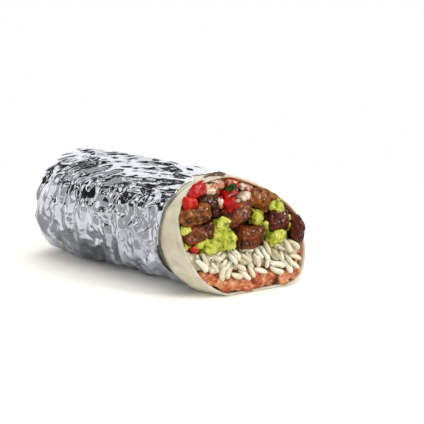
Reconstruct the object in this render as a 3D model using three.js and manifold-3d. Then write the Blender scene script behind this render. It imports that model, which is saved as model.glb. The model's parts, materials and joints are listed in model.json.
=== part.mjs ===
// Half of a large burrito lying on its side: a wheat tortilla filled with refried beans, rice,
// guacamole, cubed steak and fresh tomato salsa, in a crumpled foil wrap that stops short of the cut end.
//
// Millimetres, +Z up. The long axis runs along X with the cut end towards +X, and the burrito rests on
// Z = 0. The body is lofted in its own axes, whose X = 0 is where the cut meets the table under the
// middle line; the exported group then moves it so that the origin is under the middle of its box.
import * as THREE from "three";
import { mergeVertices } from "three/addons/utils/BufferGeometryUtils.js";
import Module from "manifold-3d";

const wasm = await Module();
wasm.setup();

// ---------------------------------------------------------------- driving dimensions
const LENGTH = 139; // from the cut, on the middle line, to the folded tail
const HALF_WIDTH = { right: 35.7, left: 35 }; // of the section, either side of its middle
const HEIGHT = 66.3;
const MIDDLE_HEIGHT = 36; // height of the section's widest level
// How square each quarter of the section is: 2 is an ellipse.
const ROUNDNESS = { topRight: 1.48, topLeft: 2.4, bottomLeft: 2.5, bottomRight: 3.3 };
const FLATTENED = 2.5; // pressed off its underside by its own weight
const RIDGE_LEAN = -0.17; // the top sags towards -Y by this share of its height
const TAPER = 0.024; // share of its height that the body loses towards the tail
const TAIL_ROUNDING = 11; // length over which the tail closes
const TAIL_SQUARENESS = 2.4;
const TAIL_SLANT = 0.32; // the tail's foot reaches out further than its top
const CUT_ANGLE = THREE.MathUtils.degToRad(19); // the cut is made on the bias
const CUT_LEAN = THREE.MathUtils.degToRad(7); // and leans back at the top

const GAP = 0.3; // clearance between touching pieces
const WALL = 1.4; // tortilla
const LINING = WALL + GAP; // from the tortilla's outside to its filling
const FOIL_SHEET = 0.6; // several plies of foil, at the thinnest place
const CUFF = 2.4; // how far the bare end of the tortilla swells past the wrapped part
const BARE_TO_SWELL = 14.3; // a bare end shorter than this swells less
// Bare tortilla between the cut and the foil, which is widest from this share of the way down.
const FOIL_EDGE = { top: 3.6, bottom: 20, widestFrom: 0.7 };
const BELLY = { swell: 3, toward: THREE.MathUtils.degToRad(212) }; // the bare end sags over the foil here
const FOIL_CREASES = [
  { cell: 15, lift: 1.9, stretch: 0.5, seed: 11 },
  { cell: 7.5, lift: 1.1, stretch: 0.75, seed: 12 },
];
const FOIL_SLACK = 1.1; // the creases are lowered by this, so that their hollows lie on the tortilla
const CREASED = { atEdge: 0.25, fullFrom: 0.15 }; // share of their height left at the foil's edge
const RAGGED = { depth: 1.1, perRadian: 9, size: 2.2, seed: 21 }; // the foil's torn edge
const PLEAT = { count: 13, lift: 0.7, hub: 0.6, from: 0.93, to: 0.985 }; // of the folded tail

const AROUND = 30; // facets round the tortilla and the fillings
const FOIL_AROUND = 52;
const FOIL_ALONG = 16;
const BELOW_TABLE = -9; // floor of surfaces that are cut off or clamped afterwards
const CAPS = { behind: -14, ahead: 6 }; // tips of the solids that the foil is cut from
const REACH = { behind: 190, ahead: 30, across: 40 }; // blocks larger than the whole burrito

// Where the model's own axes lie in the exported frame, so that its box is centred over the origin.
const MODEL_ORIGIN = new THREE.Vector3(66.75, -0.79, 0);

// ---------------------------------------------------------------- materials
const material = (color, roughness, metalness = 0) =>
  new THREE.MeshStandardMaterial({ color, roughness, metalness });
const foilMaterial = material(0xc4c6c8, 0.25, 1);
const tortillaMaterial = material(0xd9cba6, 0.75);
const beansMaterial = material(0xb4623c, 0.6);
const riceMaterial = material(0xe9e3d2, 0.5);
const guacamoleMaterial = material(0xa9b23a, 0.5);
const steakMaterial = material(0x6b3a22, 0.45);
const salsaMaterial = material(0xb5533a, 0.35);
const tomatoMaterial = material(0xb01d10, 0.25);
const onionMaterial = material(0xe4dccb, 0.3);
const leafMaterial = material(0x2e5212, 0.5);

// ---------------------------------------------------------------- noise
// A repeatable number from 0 to 1 for a cell of a grid.
function hash(i, j, k, seed) {
  let h = Math.imul(i, 374761393) + Math.imul(j, 668265263);
  h = (h + Math.imul(k, 1274126177) + Math.imul(seed, 974634777)) | 0;
  h = Math.imul(h ^ (h >>> 13), 1103515245);
  h = Math.imul(h ^ (h >>> 16), 747796405);
  return ((h ^ (h >>> 15)) >>> 0) / 4294967296;
}

// Smooth noise from -1 to 1, with lumps about `size` across.
function lumps(p, size, seed) {
  const at = p.clone().divideScalar(size);
  const cell = at.clone().floor();
  const part = at.sub(cell);
  const ease = (t) => t * t * (3 - 2 * t);
  const weight = [ease(part.x), ease(part.y), ease(part.z)];
  let sum = 0;
  for (const dx of [0, 1])
    for (const dy of [0, 1])
      for (const dz of [0, 1]) {
        const share =
          (dx ? weight[0] : 1 - weight[0]) *
          (dy ? weight[1] : 1 - weight[1]) *
          (dz ? weight[2] : 1 - weight[2]);
        sum += share * hash(cell.x + dx, cell.y + dy, cell.z + dz, seed);
      }
  return 2 * sum - 1;
}

// Distance, counted along the axes, to the nearest of scattered points: flat facets with sharp creases.
const CREASE_TURN = new THREE.Euler(0.5, 0.7, 0.9);
function crease(p, cell, seed) {
  const at = p.clone().applyEuler(CREASE_TURN).divideScalar(cell);
  const corner = at.clone().floor();
  let nearest = Infinity;
  for (let i = -1; i <= 1; i++)
    for (let j = -1; j <= 1; j++)
      for (let k = -1; k <= 1; k++) {
        const [x, y, z] = [corner.x + i, corner.y + j, corner.z + k];
        const distance =
          Math.abs(at.x - x - hash(x, y, z, seed)) +
          Math.abs(at.y - y - hash(x, y, z, seed + 100)) +
          Math.abs(at.z - z - hash(x, y, z, seed + 200));
        nearest = Math.min(nearest, distance);
      }
  return nearest;
}

// A repeatable stream of numbers from 0 to 1.
function stream(seed) {
  let count = 0;
  return () => hash(count++, 7, 3, seed);
}

// ---------------------------------------------------------------- solids
function solidOf(positions, triangles) {
  const make = (order) =>
    new wasm.Manifold(
      new wasm.Mesh({
        numProp: 3,
        vertProperties: new Float32Array(positions),
        triVerts: new Uint32Array(order),
      }),
    );
  const solid = make(triangles);
  return solid.volume() >= 0 ? solid : make(triangles.toReversed());
}

function solidOfGeometry(geometry, matrix) {
  const bare = new THREE.BufferGeometry();
  const flat = geometry.index ? geometry.toNonIndexed() : geometry;
  bare.setAttribute("position", flat.getAttribute("position").clone());
  if (matrix) bare.applyMatrix4(matrix);
  const merged = mergeVertices(bare, 1e-3);
  return solidOf(merged.attributes.position.array, [...merged.index.array]);
}

// Joins rings of points, each a closed loop or a single point, into one closed surface.
function loft(rings, joinEnds = false) {
  const positions = [];
  const starts = rings.map((ring) => {
    const start = positions.length / 3;
    ring.forEach((p) => positions.push(p.x, p.y, p.z));
    return start;
  });
  const triangles = [];
  const stitch = (a, b) => {
    const [ringA, ringB] = [rings[a], rings[b]];
    const count = Math.max(ringA.length, ringB.length);
    for (let i = 0; i < count && ringA.length + ringB.length > 2; i++) {
      const next = (i + 1) % count;
      const [a0, a1] = ringA.length > 1 ? [i, next] : [0, 0];
      const [b0, b1] = ringB.length > 1 ? [i, next] : [0, 0];
      if (a0 !== a1) triangles.push(starts[a] + a0, starts[a] + a1, starts[b] + b0);
      if (b0 !== b1) triangles.push(starts[b] + b0, starts[a] + a1, starts[b] + b1);
    }
  };
  for (let i = 0; i + 1 < rings.length; i++) stitch(i, i + 1);
  if (joinEnds) stitch(rings.length - 1, 0);
  return solidOf(positions, triangles);
}

const largest = (solid) =>
  solid.decompose().reduce((best, body) => (body.volume() > best.volume() ? body : best));
const unite = (solids) => solids.reduce((sum, solid) => sum.add(solid));

function meshOf(name, solid, itsMaterial) {
  const { vertProperties, triVerts } = largest(solid).getMesh();
  const geometry = new THREE.BufferGeometry();
  geometry.setAttribute("position", new THREE.BufferAttribute(vertProperties, 3));
  geometry.setIndex(new THREE.BufferAttribute(triVerts, 1));
  geometry.computeVertexNormals();
  const mesh = new THREE.Mesh(geometry, itsMaterial);
  mesh.name = name;
  return mesh;
}

// ---------------------------------------------------------------- the wrapped body
// Distance from the section's middle to its outline in the direction `angle`, counted from +Y.
function sectionRadius(angle) {
  const [across, up] = [Math.cos(angle), Math.sin(angle)];
  const half = across >= 0 ? HALF_WIDTH.right : HALF_WIDTH.left;
  const rise = up >= 0 ? HEIGHT - MIDDLE_HEIGHT : MIDDLE_HEIGHT + FLATTENED;
  const topPower = across >= 0 ? ROUNDNESS.topRight : ROUNDNESS.topLeft;
  const bottomPower = across >= 0 ? ROUNDNESS.bottomRight : ROUNDNESS.bottomLeft;
  const power = up >= 0 ? topPower : bottomPower;
  return (Math.abs(across / half) ** power + Math.abs(up / rise) ** power) ** (-1 / power);
}

// Bare tortilla between the cut and the foil's edge, in the direction `angle`: least at the top.
function foilEdge(angle) {
  const down = (1 - Math.sin(angle)) / 2;
  const { top, bottom, widestFrom } = FOIL_EDGE;
  return THREE.MathUtils.lerp(top, bottom, THREE.MathUtils.smoothstep(down, 0, widestFrom));
}

// A point `inset` inside the cut's outline, `station` behind the cut, no lower than `floor`.
function bodyPoint(angle, station, inset, floor) {
  const length = LENGTH - inset;
  const closing = THREE.MathUtils.clamp((station - length + TAIL_ROUNDING) / TAIL_ROUNDING, 0, 1);
  const taper = (1 - closing ** TAIL_SQUARENESS) ** (1 / TAIL_SQUARENESS);
  const radius = (sectionRadius(angle) - inset) * taper;
  const y = radius * (Math.cos(angle) + RIDGE_LEAN * Math.sin(angle));
  const back = Math.max(station, 0) / LENGTH;
  const z = Math.max((MIDDLE_HEIGHT + radius * Math.sin(angle)) * (1 - TAPER * back), floor);
  const bias = y * Math.tan(CUT_ANGLE) - z * Math.tan(CUT_LEAN);
  const slant = TAIL_SLANT * (HEIGHT / 2 - z) * back * back;
  return new THREE.Vector3(bias * (1 - back) - station - slant, y, z);
}

function ring(count, pointAt) {
  return Array.from({ length: count }, (_, i) => pointAt((i / count) * 2 * Math.PI));
}

// Shares of the way from the foil's edge to the tail, closer together where the tail closes.
const WRAPPED_ROWS = [0.02, 0.91, 0.955, 0.98, 0.994];
function wrappedRings(inset, floor, rows = WRAPPED_ROWS) {
  return rows.map((share) =>
    ring(AROUND, (angle) => {
      const edge = foilEdge(angle);
      return bodyPoint(angle, edge + share * (LENGTH - inset - edge), inset, floor);
    }),
  );
}
const tailPoint = (inset, floor) => [bodyPoint(0, LENGTH - inset, inset, floor)];

// How far the bare end swells outwards, a share `strip` of the way from the cut to the foil's edge.
const CUFF_BACK = [0.8, 0.95]; // where the swelling starts to fall, and where it is gone
function cuff(angle, strip) {
  const swell = CUFF * Math.min(1, foilEdge(angle) / BARE_TO_SWELL);
  const sag = BELLY.swell * strip * Math.max(0, Math.cos(angle - BELLY.toward)) ** 2;
  return (swell + sag) * (1 - THREE.MathUtils.smoothstep(strip, ...CUFF_BACK));
}

// Rings of the bare end, `depth` under its outside, from the cut to the foil's edge. It lies on the
// table until it slips under the foil.
const UNDER_FOIL = FOIL_SHEET + GAP; // the tortilla's lowest level inside the wrap
function stripRings(depth, rows = [0, 0.4, CUFF_BACK[0], CUFF_BACK[1]]) {
  return rows.map((strip) => {
    const floor = UNDER_FOIL * THREE.MathUtils.smoothstep(strip, ...CUFF_BACK) + depth;
    return ring(AROUND, (angle) => {
      const inset = CUFF - cuff(angle, strip) + depth;
      return bodyPoint(angle, strip * foilEdge(angle), inset, floor);
    });
  });
}

const INSIDE_STRIP = [0, CUFF_BACK[0], CUFF_BACK[1]];
function tortilla() {
  return loft(
    [
      ...stripRings(0),
      ...wrappedRings(CUFF, UNDER_FOIL),
      tailPoint(CUFF, UNDER_FOIL),
      tailPoint(CUFF + WALL, UNDER_FOIL + WALL),
      ...wrappedRings(CUFF + WALL, UNDER_FOIL + WALL).toReversed(),
      ...stripRings(WALL, INSIDE_STRIP).toReversed(),
    ],
    true,
  );
}

// The outline of the filling at the cut, carried on along the burrito.
const rimRing = (station) =>
  ring(AROUND, (angle) => bodyPoint(angle, station, CUFF - cuff(angle, 0) + LINING, LINING));

// The room inside the tortilla, carried on `ahead` of the cut so that fillings can bulge out of it.
function fillingRoom(ahead) {
  return loft([
    [new THREE.Vector3(ahead, 0, MIDDLE_HEIGHT)],
    rimRing(-ahead),
    ...stripRings(LINING, INSIDE_STRIP),
    ...wrappedRings(CUFF + LINING, UNDER_FOIL + LINING),
    tailPoint(CUFF + LINING, UNDER_FOIL + LINING),
  ]);
}

// Everything outside that room from the rim back, where no filling may reach.
const KEEP_OUT = { thick: 12, back: 40 };
function rimKeepOut() {
  const outside = (station) =>
    ring(AROUND, (angle) => bodyPoint(angle, station, -KEEP_OUT.thick, BELOW_TABLE));
  return loft(
    [
      outside(-GAP),
      outside(KEEP_OUT.back),
      ...wrappedRings(CUFF + LINING, UNDER_FOIL + LINING, [0.4, 0.02]),
      ...stripRings(LINING, INSIDE_STRIP).toReversed(),
      rimRing(-GAP),
    ],
    true,
  );
}

// ---------------------------------------------------------------- foil wrap
function foilLift(p) {
  const raised = FOIL_CREASES.reduce((sum, { cell, lift, stretch, seed }) => {
    const stretched = new THREE.Vector3(p.x * stretch, p.y, p.z);
    return sum + lift * crease(stretched, cell, seed);
  }, 0);
  return Math.max(0, raised - FOIL_SLACK);
}

function raggedEdge(angle) {
  const { depth, perRadian, size, seed } = RAGGED;
  return depth + lumps(new THREE.Vector3(perRadian * angle, 0, 0), size, seed);
}

// Shares of the way from the foil's edge to the tail; the last few, on the folded end, lie still.
const FOIL_ROWS = Array.from({ length: FOIL_ALONG }, (_, i) => (0.9 * i) / FOIL_ALONG);
const FOLDED_ROWS = [0.91, 0.955, 0.98, 0.994, 0.999];

function foilWrap() {
  const jitter = stream(5);
  const shift = () => 0.5 * (jitter() - 0.5);
  const inset = CUFF - UNDER_FOIL; // of the sheet's outer side, where it lies smooth
  const outer = [...FOIL_ROWS, ...FOLDED_ROWS].map((row, index) =>
    ring(FOIL_AROUND, (angle) => {
      const turned = angle + (shift() * 2 * Math.PI) / FOIL_AROUND;
      const share = index && index < FOIL_ALONG ? row + shift() / FOIL_ALONG : row;
      const edge = foilEdge(turned) + (index ? 0 : raggedEdge(turned));
      const station = edge + share * (LENGTH - inset - edge);
      const folded = THREE.MathUtils.smoothstep(share, PLEAT.from, PLEAT.to);
      const creased = THREE.MathUtils.lerp(CREASED.atEdge, 1, Math.min(1, share / CREASED.fullFrom));
      const crumple = creased * foilLift(bodyPoint(turned, station, inset, BELOW_TABLE));
      const lift = crumple + folded * PLEAT.lift * (1 + Math.cos(PLEAT.count * turned));
      return bodyPoint(turned, station + folded * lift, inset - lift, 0);
    }),
  );
  const shell = loft([
    [new THREE.Vector3(CAPS.behind, 0, MIDDLE_HEIGHT)],
    ...outer,
    tailPoint(inset - PLEAT.hub, 0),
  ]);
  const holdInset = CUFF - GAP; // the sheet's inner side
  const hollow = loft([
    [new THREE.Vector3(CAPS.ahead, 0, MIDDLE_HEIGHT)],
    ring(AROUND, (angle) => bodyPoint(angle, -CAPS.ahead, holdInset, FOIL_SHEET)),
    ...wrappedRings(holdInset, FOIL_SHEET),
    tailPoint(holdInset, FOIL_SHEET),
  ]);
  return shell.subtract(hollow);
}

// ---------------------------------------------------------------- the cut face
// Its own axes: u runs across the face towards +Y, v up it, and n out of it.
const acrossFace = new THREE.Vector3(Math.sin(CUT_ANGLE), Math.cos(CUT_ANGLE), 0);
const outOfFace = new THREE.Vector3(1, -Math.tan(CUT_ANGLE), Math.tan(CUT_LEAN)).normalize();
const upFace = outOfFace.clone().cross(acrossFace);
const faceFrame = new THREE.Matrix4().makeBasis(acrossFace, upFace, outOfFace);

// A block behind the face whose front has the relief `out(u, v)`, between two levels.
function frontBlock(from, to, lowest, highest, step, out) {
  const columns = Math.round((to - from) / step);
  const rows = Math.round((highest - lowest) / step);
  const positions = [];
  const triangles = [];
  for (let j = 0; j <= rows; j++)
    for (let i = 0; i <= columns; i++) {
      const u = from + ((to - from) * i) / columns;
      const v = lowest + ((highest - lowest) * j) / rows;
      positions.push(u, v, out(u, v));
    }
  const at = (i, j) => j * (columns + 1) + i;
  for (let j = 0; j < rows; j++)
    for (let i = 0; i < columns; i++) {
      const [a, b, c, d] = [at(i, j), at(i + 1, j), at(i + 1, j + 1), at(i, j + 1)];
      if ((i + j) % 2) triangles.push(a, b, c, a, c, d);
      else triangles.push(a, b, d, b, c, d);
    }
  const border = [];
  for (let i = 0; i < columns; i++) border.push(at(i, 0));
  for (let j = 0; j < rows; j++) border.push(at(columns, j));
  for (let i = columns; i > 0; i--) border.push(at(i, rows));
  for (let j = rows; j > 0; j--) border.push(at(0, j));
  const first = positions.length / 3;
  border.forEach((k) => positions.push(positions[3 * k], positions[3 * k + 1], -REACH.behind));
  const hub = positions.length / 3;
  positions.push((from + to) / 2, (lowest + highest) / 2, -REACH.behind);
  border.forEach((k, i) => {
    const next = (i + 1) % border.length;
    triangles.push(k, first + i, border[next], border[next], first + i, first + next);
    triangles.push(first + i, hub, first + next);
  });
  const face = new THREE.BufferGeometry();
  face.setAttribute("position", new THREE.BufferAttribute(new Float32Array(positions), 3));
  face.applyMatrix4(faceFrame);
  return solidOf(face.attributes.position.array, triangles);
}

// The levels that part the layers, across the burrito; each runs its whole length.
const LEVELS = {
  beans: (y) => 12.8 - 0.08 * y + 0.7 * Math.sin(y / 4.5) + 9.5 * THREE.MathUtils.smoothstep(y, 27, 34),
  rice: (y) => 23.6 + 0.5 * Math.sin(y / 6 + 1) + 3.6 * THREE.MathUtils.smoothstep(-y, 18, 32),
  guacamole: (y) => 37.5 + 0.7 * Math.sin(y / 8),
  steak: (y) => 52.5 + 0.2 * (y + 10),
};
const below = () => -2;
const above = () => HEIGHT + 4;

// What lies between two levels, with half the gap left at each.
function layer(bottomAt, topAt, step = 4) {
  const half = REACH.across;
  const count = Math.round((2 * half) / step);
  const ys = Array.from({ length: count + 1 }, (_, i) => -half + (2 * half * i) / count);
  const outline = new THREE.Shape([
    ...ys.map((y) => new THREE.Vector2(y, bottomAt(y) + GAP / 2)),
    ...ys.toReversed().map((y) => new THREE.Vector2(y, topAt(y) - GAP / 2)),
  ]);
  const depth = REACH.behind + REACH.ahead;
  const geometry = new THREE.ExtrudeGeometry(outline, { depth, bevelEnabled: false });
  const alongX = new THREE.Matrix4().makeBasis(
    new THREE.Vector3(0, 1, 0),
    new THREE.Vector3(0, 0, 1),
    new THREE.Vector3(1, 0, 0),
  );
  alongX.setPosition(-REACH.behind, 0, 0);
  return solidOfGeometry(geometry, alongX);
}

// A flat-fronted block behind the face, `out` of it.
const flatBlock = (out) => frontBlock(-60, 60, -20, 90, 120, () => out);

// An uneven lump that stands `out` of the face and has a flat back, `buried` behind it. Its size is
// [across, up]; it is turned in the face, tipped forwards, and yawed by half as much as it is tipped.
const CUT_OFF = 2; // of the lump's back
function lump(piece, { square, rough, grain, base, buried }, grow = 0) {
  const { u, v, out, size, turn = 0, tip = 0, seed } = piece;
  const half = new THREE.Vector3(size[0], size[1], out + buried + CUT_OFF).divideScalar(2);
  const geometry = base.clone();
  const position = geometry.attributes.position;
  const p = new THREE.Vector3();
  for (let i = 0; i < position.count; i++) {
    const direction = p.fromBufferAttribute(position, i).normalize().clone();
    const reach =
      (Math.abs(p.x) ** square + Math.abs(p.y) ** square + Math.abs(p.z) ** square) ** (-1 / square);
    p.multiplyScalar(reach).multiply(half);
    const bump = rough * lumps(p.clone().addScalar(50 * seed), grain, seed);
    p.addScaledVector(direction, bump + grow);
    position.setXYZ(i, p.x, p.y, p.z);
  }
  const [tipAngle, turnAngle] = [tip, turn].map(THREE.MathUtils.degToRad);
  const place = new THREE.Matrix4()
    .makeRotationFromEuler(new THREE.Euler(tipAngle, tipAngle / 2, turnAngle, "ZYX"))
    .setPosition(u, v, out - half.z)
    .premultiply(faceFrame);
  return solidOfGeometry(geometry, place).subtract(flatBlock(-buried - (grow ? GAP : 0)));
}

// ---------------------------------------------------------------- what shows at the cut
const CUBE = new THREE.BoxGeometry(1, 1, 1, 3, 3, 2);
const DICE = new THREE.BoxGeometry(1, 1, 1, 2, 2, 2);
const BALL = new THREE.IcosahedronGeometry(1, 1);
const SMALL_BALL = new THREE.OctahedronGeometry(1, 1);
const STEAK_SHAPE = { square: 4.5, rough: 1.2, grain: 5, base: CUBE, buried: 7.3 };
const STEAK = [
  { u: -28, v: 46, out: 3.6, size: [18.5, 11.5], turn: 4, tip: 6, seed: 1 },
  { u: -19, v: 51, out: 1.6, size: [14.5, 13.5], turn: -24, tip: -8, seed: 2 },
  { u: -26.5, v: 36.2, out: 2.2, size: [19, 10.5], turn: 10, tip: 10, seed: 3 },
  { u: -2.5, v: 43.5, out: 2.8, size: [17.5, 12], turn: 12, tip: -6, seed: 4 },
  { u: 4, v: 30.3, out: 4.4, size: [18, 13], turn: -6, tip: 5, seed: 5 },
  { u: 12.5, v: 49.5, out: 2.6, size: [15.5, 12.5], turn: -28, tip: 8, seed: 6 },
  { u: 21.5, v: 37.5, out: 4, size: [13.5, 14.5], turn: -14, tip: -10, seed: 7 },
  { u: 33, v: 30.5, out: 4.2, size: [8.5, 16.5], turn: 14, tip: 4, seed: 8 },
];

const DOLLOP_SHAPE = { square: 2.3, rough: 1.3, grain: 3.2, base: BALL, buried: 8.5 };
const DOLLOPS = [
  { u: -11.5, v: 38.3, out: 4, size: [12, 10], seed: 21 },
  { u: -21, v: 28.3, out: 5, size: [13, 11], seed: 22 },
  { u: -11, v: 30.8, out: 5.5, size: [13.5, 13], seed: 23 },
  { u: -16, v: 34, out: 3.5, size: [12, 10], seed: 24 },
  { u: 9, v: 40, out: 4, size: [9.5, 11.5], turn: 18, seed: 25 },
  { u: 20, v: 28.4, out: 5, size: [15, 11], turn: -8, seed: 26 },
];
const SMALL_DOLLOP_SHAPE = { ...DOLLOP_SHAPE, rough: 0.8, base: SMALL_BALL };
const SMALL_DOLLOPS = [
  { u: -34, v: 39, out: 2.5, size: [12, 5.5], turn: 38, seed: 31 },
  { u: -33, v: 31.3, out: 2.5, size: [10, 6], turn: 14, seed: 32 },
  { u: 14, v: 34.3, out: 3.5, size: [6.5, 9], turn: 35, seed: 33 },
  { u: 29.2, v: 34.3, out: 3, size: [4.4, 10.5], turn: 8, seed: 34 },
];
const GUACAMOLE_DAB = { u: 21, v: 47.6, out: 2, size: [9, 7.5], turn: -30, seed: 36 };

const DICE_SHAPE = { square: 6, rough: 0.7, grain: 4, base: DICE, buried: 4.7 };
const TOMATO = [
  { u: -27, v: 59, out: 1.5, size: [13.5, 8], turn: 14, tip: -10, seed: 41 },
  { u: -32, v: 53.2, out: 3, size: [8.5, 6.5], turn: -12, tip: 12, seed: 42 },
  { u: -5.5, v: 55, out: 1.5, size: [9.5, 5.5], turn: 16, tip: -14, seed: 43 },
  { u: -7.5, v: 49.3, out: 3.5, size: [8, 7.5], turn: 28, tip: 10, seed: 44 },
  { u: -4.5, v: 61, out: -1, size: [9, 4.6], turn: -22, tip: -12, seed: 45 },
  { u: -14.5, v: 57.5, out: -1.5, size: [7.5, 5], turn: -30, tip: 8, seed: 46 },
  { u: -29.5, v: 28.6, out: 1.5, size: [5.5, 5], turn: 34, tip: 6, seed: 47 },
];
const ONION = [
  { u: -18.5, v: 58, out: 1, size: [6, 3.6], turn: -14, tip: 16, seed: 51 },
  { u: -13, v: 62.4, out: -1.5, size: [8.5, 4.2], turn: -24, tip: -16, seed: 52 },
  { u: 2.6, v: 51.8, out: 1.5, size: [5.6, 4.2], turn: 42, tip: 12, seed: 53 },
  { u: -12.6, v: 51.4, out: 0.5, size: [3.4, 5], turn: 12, tip: -6, seed: 54 },
  { u: 4.5, v: 57.3, out: -1, size: [9, 3.2], turn: -22, tip: -10, seed: 55 },
];

// A leaf of cilantro lying on the salsa: a thin wavy solid with the same grid on both sides.
const LEAF = { u: -6.8, v: 58.3, out: 1.6, length: 7.6, width: 3.6, thick: 0.5, turn: 12 };
function leaf(grow = 0) {
  const { u, v, out, length, width, thick, turn } = LEAF;
  const [columns, rows] = [6, 3];
  const side = (lift) =>
    Array.from({ length: (columns + 1) * (rows + 1) }, (_, k) => {
      const along = (k % (columns + 1)) / columns - 0.5;
      const across = Math.floor(k / (columns + 1)) / rows - 0.5;
      const half = width * (1 - 3.2 * along * along) + 2 * grow;
      const wave = 0.5 * Math.sin(9 * along + 3 * across);
      return [along * (length + 2 * grow), across * half, wave + lift];
    });
  const points = [...side(-thick / 2 - grow), ...side(thick / 2 + grow)];
  const triangles = [];
  const layerSize = (columns + 1) * (rows + 1);
  const at = (i, j) => j * (columns + 1) + i;
  for (let j = 0; j < rows; j++)
    for (let i = 0; i < columns; i++) {
      const [a, b, c, d] = [at(i, j), at(i + 1, j), at(i + 1, j + 1), at(i, j + 1)];
      triangles.push(a, c, b, a, d, c);
      triangles.push(...[a, b, c, a, c, d].map((k) => k + layerSize));
    }
  const border = [];
  for (let i = 0; i < columns; i++) border.push(at(i, 0));
  for (let j = 0; j < rows; j++) border.push(at(columns, j));
  for (let i = columns; i > 0; i--) border.push(at(i, rows));
  for (let j = rows; j > 0; j--) border.push(at(0, j));
  border.forEach((k, i) => {
    const next = border[(i + 1) % border.length];
    triangles.push(k, next, k + layerSize, next, next + layerSize, k + layerSize);
  });
  const geometry = new THREE.BufferGeometry();
  geometry.setAttribute("position", new THREE.BufferAttribute(new Float32Array(points.flat()), 3));
  geometry.rotateZ(THREE.MathUtils.degToRad(turn)).translate(u, v, out);
  geometry.applyMatrix4(faceFrame);
  return solidOf(geometry.attributes.position.array, triangles);
}

// Cooked long grains: rows of them across the rice, each turned its own way, tips towards the viewer.
const GRAIN = { length: 8, width: 2.6 };
const GRAIN_ROWS = [
  { v: 22.6, from: -32, to: 31, out: 0 },
  { v: 19.8, from: -33.5, to: 32, out: 0.4 },
  { v: 17, from: -30, to: 31, out: 0.8 },
];
const GRAIN_PITCH = 4;
const EXTRA_GRAINS = [{ u: 27.5, v: 28.6, out: 1.2, turn: 38, tip: 10 }];
function grainPlaces() {
  const next = stream(61);
  const places = GRAIN_ROWS.flatMap(({ v, from, to, out }) => {
    const count = Math.round((to - from) / GRAIN_PITCH);
    return Array.from({ length: count + 1 }, (_, i) => ({
      u: from + i * GRAIN_PITCH + 1.6 * (next() - 0.5),
      v: v + 2.2 * (next() - 0.5) - 0.06 * (from + i * GRAIN_PITCH),
      out: out + 1.6 * (next() - 0.5),
      turn: 140 * (next() - 0.5),
      tip: 40 * (next() - 0.5),
    }));
  });
  return [...places, ...EXTRA_GRAINS];
}
function grain({ u, v, out, turn, tip, whole = 1 }, grow = 0) {
  const [half, radius] = [(whole * GRAIN.length) / 2 + grow, GRAIN.width / 2 + grow];
  const profile = [
    [0, -half],
    [radius, -0.6 * half],
    [radius, 0.6 * half],
    [0, half],
  ].map(([x, y]) => new THREE.Vector2(x, y));
  const place = new THREE.Matrix4()
    .makeRotationFromEuler(
      new THREE.Euler(THREE.MathUtils.degToRad(tip), 0, THREE.MathUtils.degToRad(turn), "ZYX"),
    )
    .setPosition(u, v, out)
    .premultiply(faceFrame);
  return solidOfGeometry(new THREE.LatheGeometry(profile, 5), place);
}

// ---------------------------------------------------------------- fillings, front pieces first
const room = fillingRoom(12);
const keepOut = rimKeepOut();
const growBy = GAP * 1.3; // along a lump's radius, which leaves the gap square to its faces

const group = new THREE.Group();
const taken = [keepOut]; // what is out of reach: the wrap, and grown copies of the pieces placed so far

// Puts a piece in what the earlier ones leave.
function place(name, solid, itsMaterial) {
  group.add(meshOf(name, solid.subtract(unite(taken)), itsMaterial));
}

// The same, and keeps the later ones off it.
function placeFirst(name, solid, grown, itsMaterial) {
  place(name, solid, itsMaterial);
  taken.push(grown);
}

function placeLumps(prefix, pieces, shape, itsMaterial) {
  pieces.forEach((piece, i) => {
    const name = `${prefix}_${i + 1}`;
    placeFirst(name, lump(piece, shape), lump(piece, shape, growBy), itsMaterial);
  });
}

placeFirst("cilantro_leaf", leaf(), leaf(growBy), leafMaterial);
placeLumps("onion", ONION, DICE_SHAPE, onionMaterial);
placeLumps("tomato", TOMATO, DICE_SHAPE, tomatoMaterial);
placeLumps("steak", STEAK, STEAK_SHAPE, steakMaterial);

// Relief of a layer's front, which swells most, by `swell`, at the height `middle`.
const SWELLING = { up: 9, across: 38 }; // half the height and width of the part that stands out
function relief(out, swell, middle, rough, grainSize, seed) {
  return (u, v) => {
    const bulge = swell * (1 - ((v - middle) / SWELLING.up) ** 2) * (1 - (u / SWELLING.across) ** 4);
    return out + bulge + rough * lumps(new THREE.Vector3(u, v, 0), grainSize, seed);
  };
}

const fill = (bottomAt, topAt, block) => room.intersect(layer(bottomAt, topAt)).intersect(block);

const dab = (grow) => lump(GUACAMOLE_DAB, DOLLOP_SHAPE, grow);
placeFirst("guacamole_dab", dab(0), dab(growBy), guacamoleMaterial);

const dollops = (grow) => unite([
  ...DOLLOPS.map((piece) => lump(piece, DOLLOP_SHAPE, grow)),
  ...SMALL_DOLLOPS.map((piece) => lump(piece, SMALL_DOLLOP_SHAPE, grow)),
]);
const guacamoleCore = fill(
  LEVELS.rice,
  LEVELS.guacamole,
  flatBlock(-STEAK_SHAPE.buried - GAP),
);
const riceCore = (clear) => fill(
  (y) => LEVELS.beans(y) - clear,
  (y) => LEVELS.rice(y) + clear,
  frontBlock(-40, 40, 4, 34, 8, relief(-1.2 + clear, 0.6, 19, 0.5, 5, 71)),
);
placeFirst(
  "guacamole",
  guacamoleCore.add(dollops(0)).subtract(riceCore(GAP)),
  dollops(growBy),
  guacamoleMaterial,
);
const beans = fill(below, LEVELS.beans, frontBlock(-39, 39, -3, 24, 3.4, relief(-0.6, 2.2, 5, 1, 3.6, 73)));
placeFirst("refried_beans", beans, beans, beansMaterial);

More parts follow.
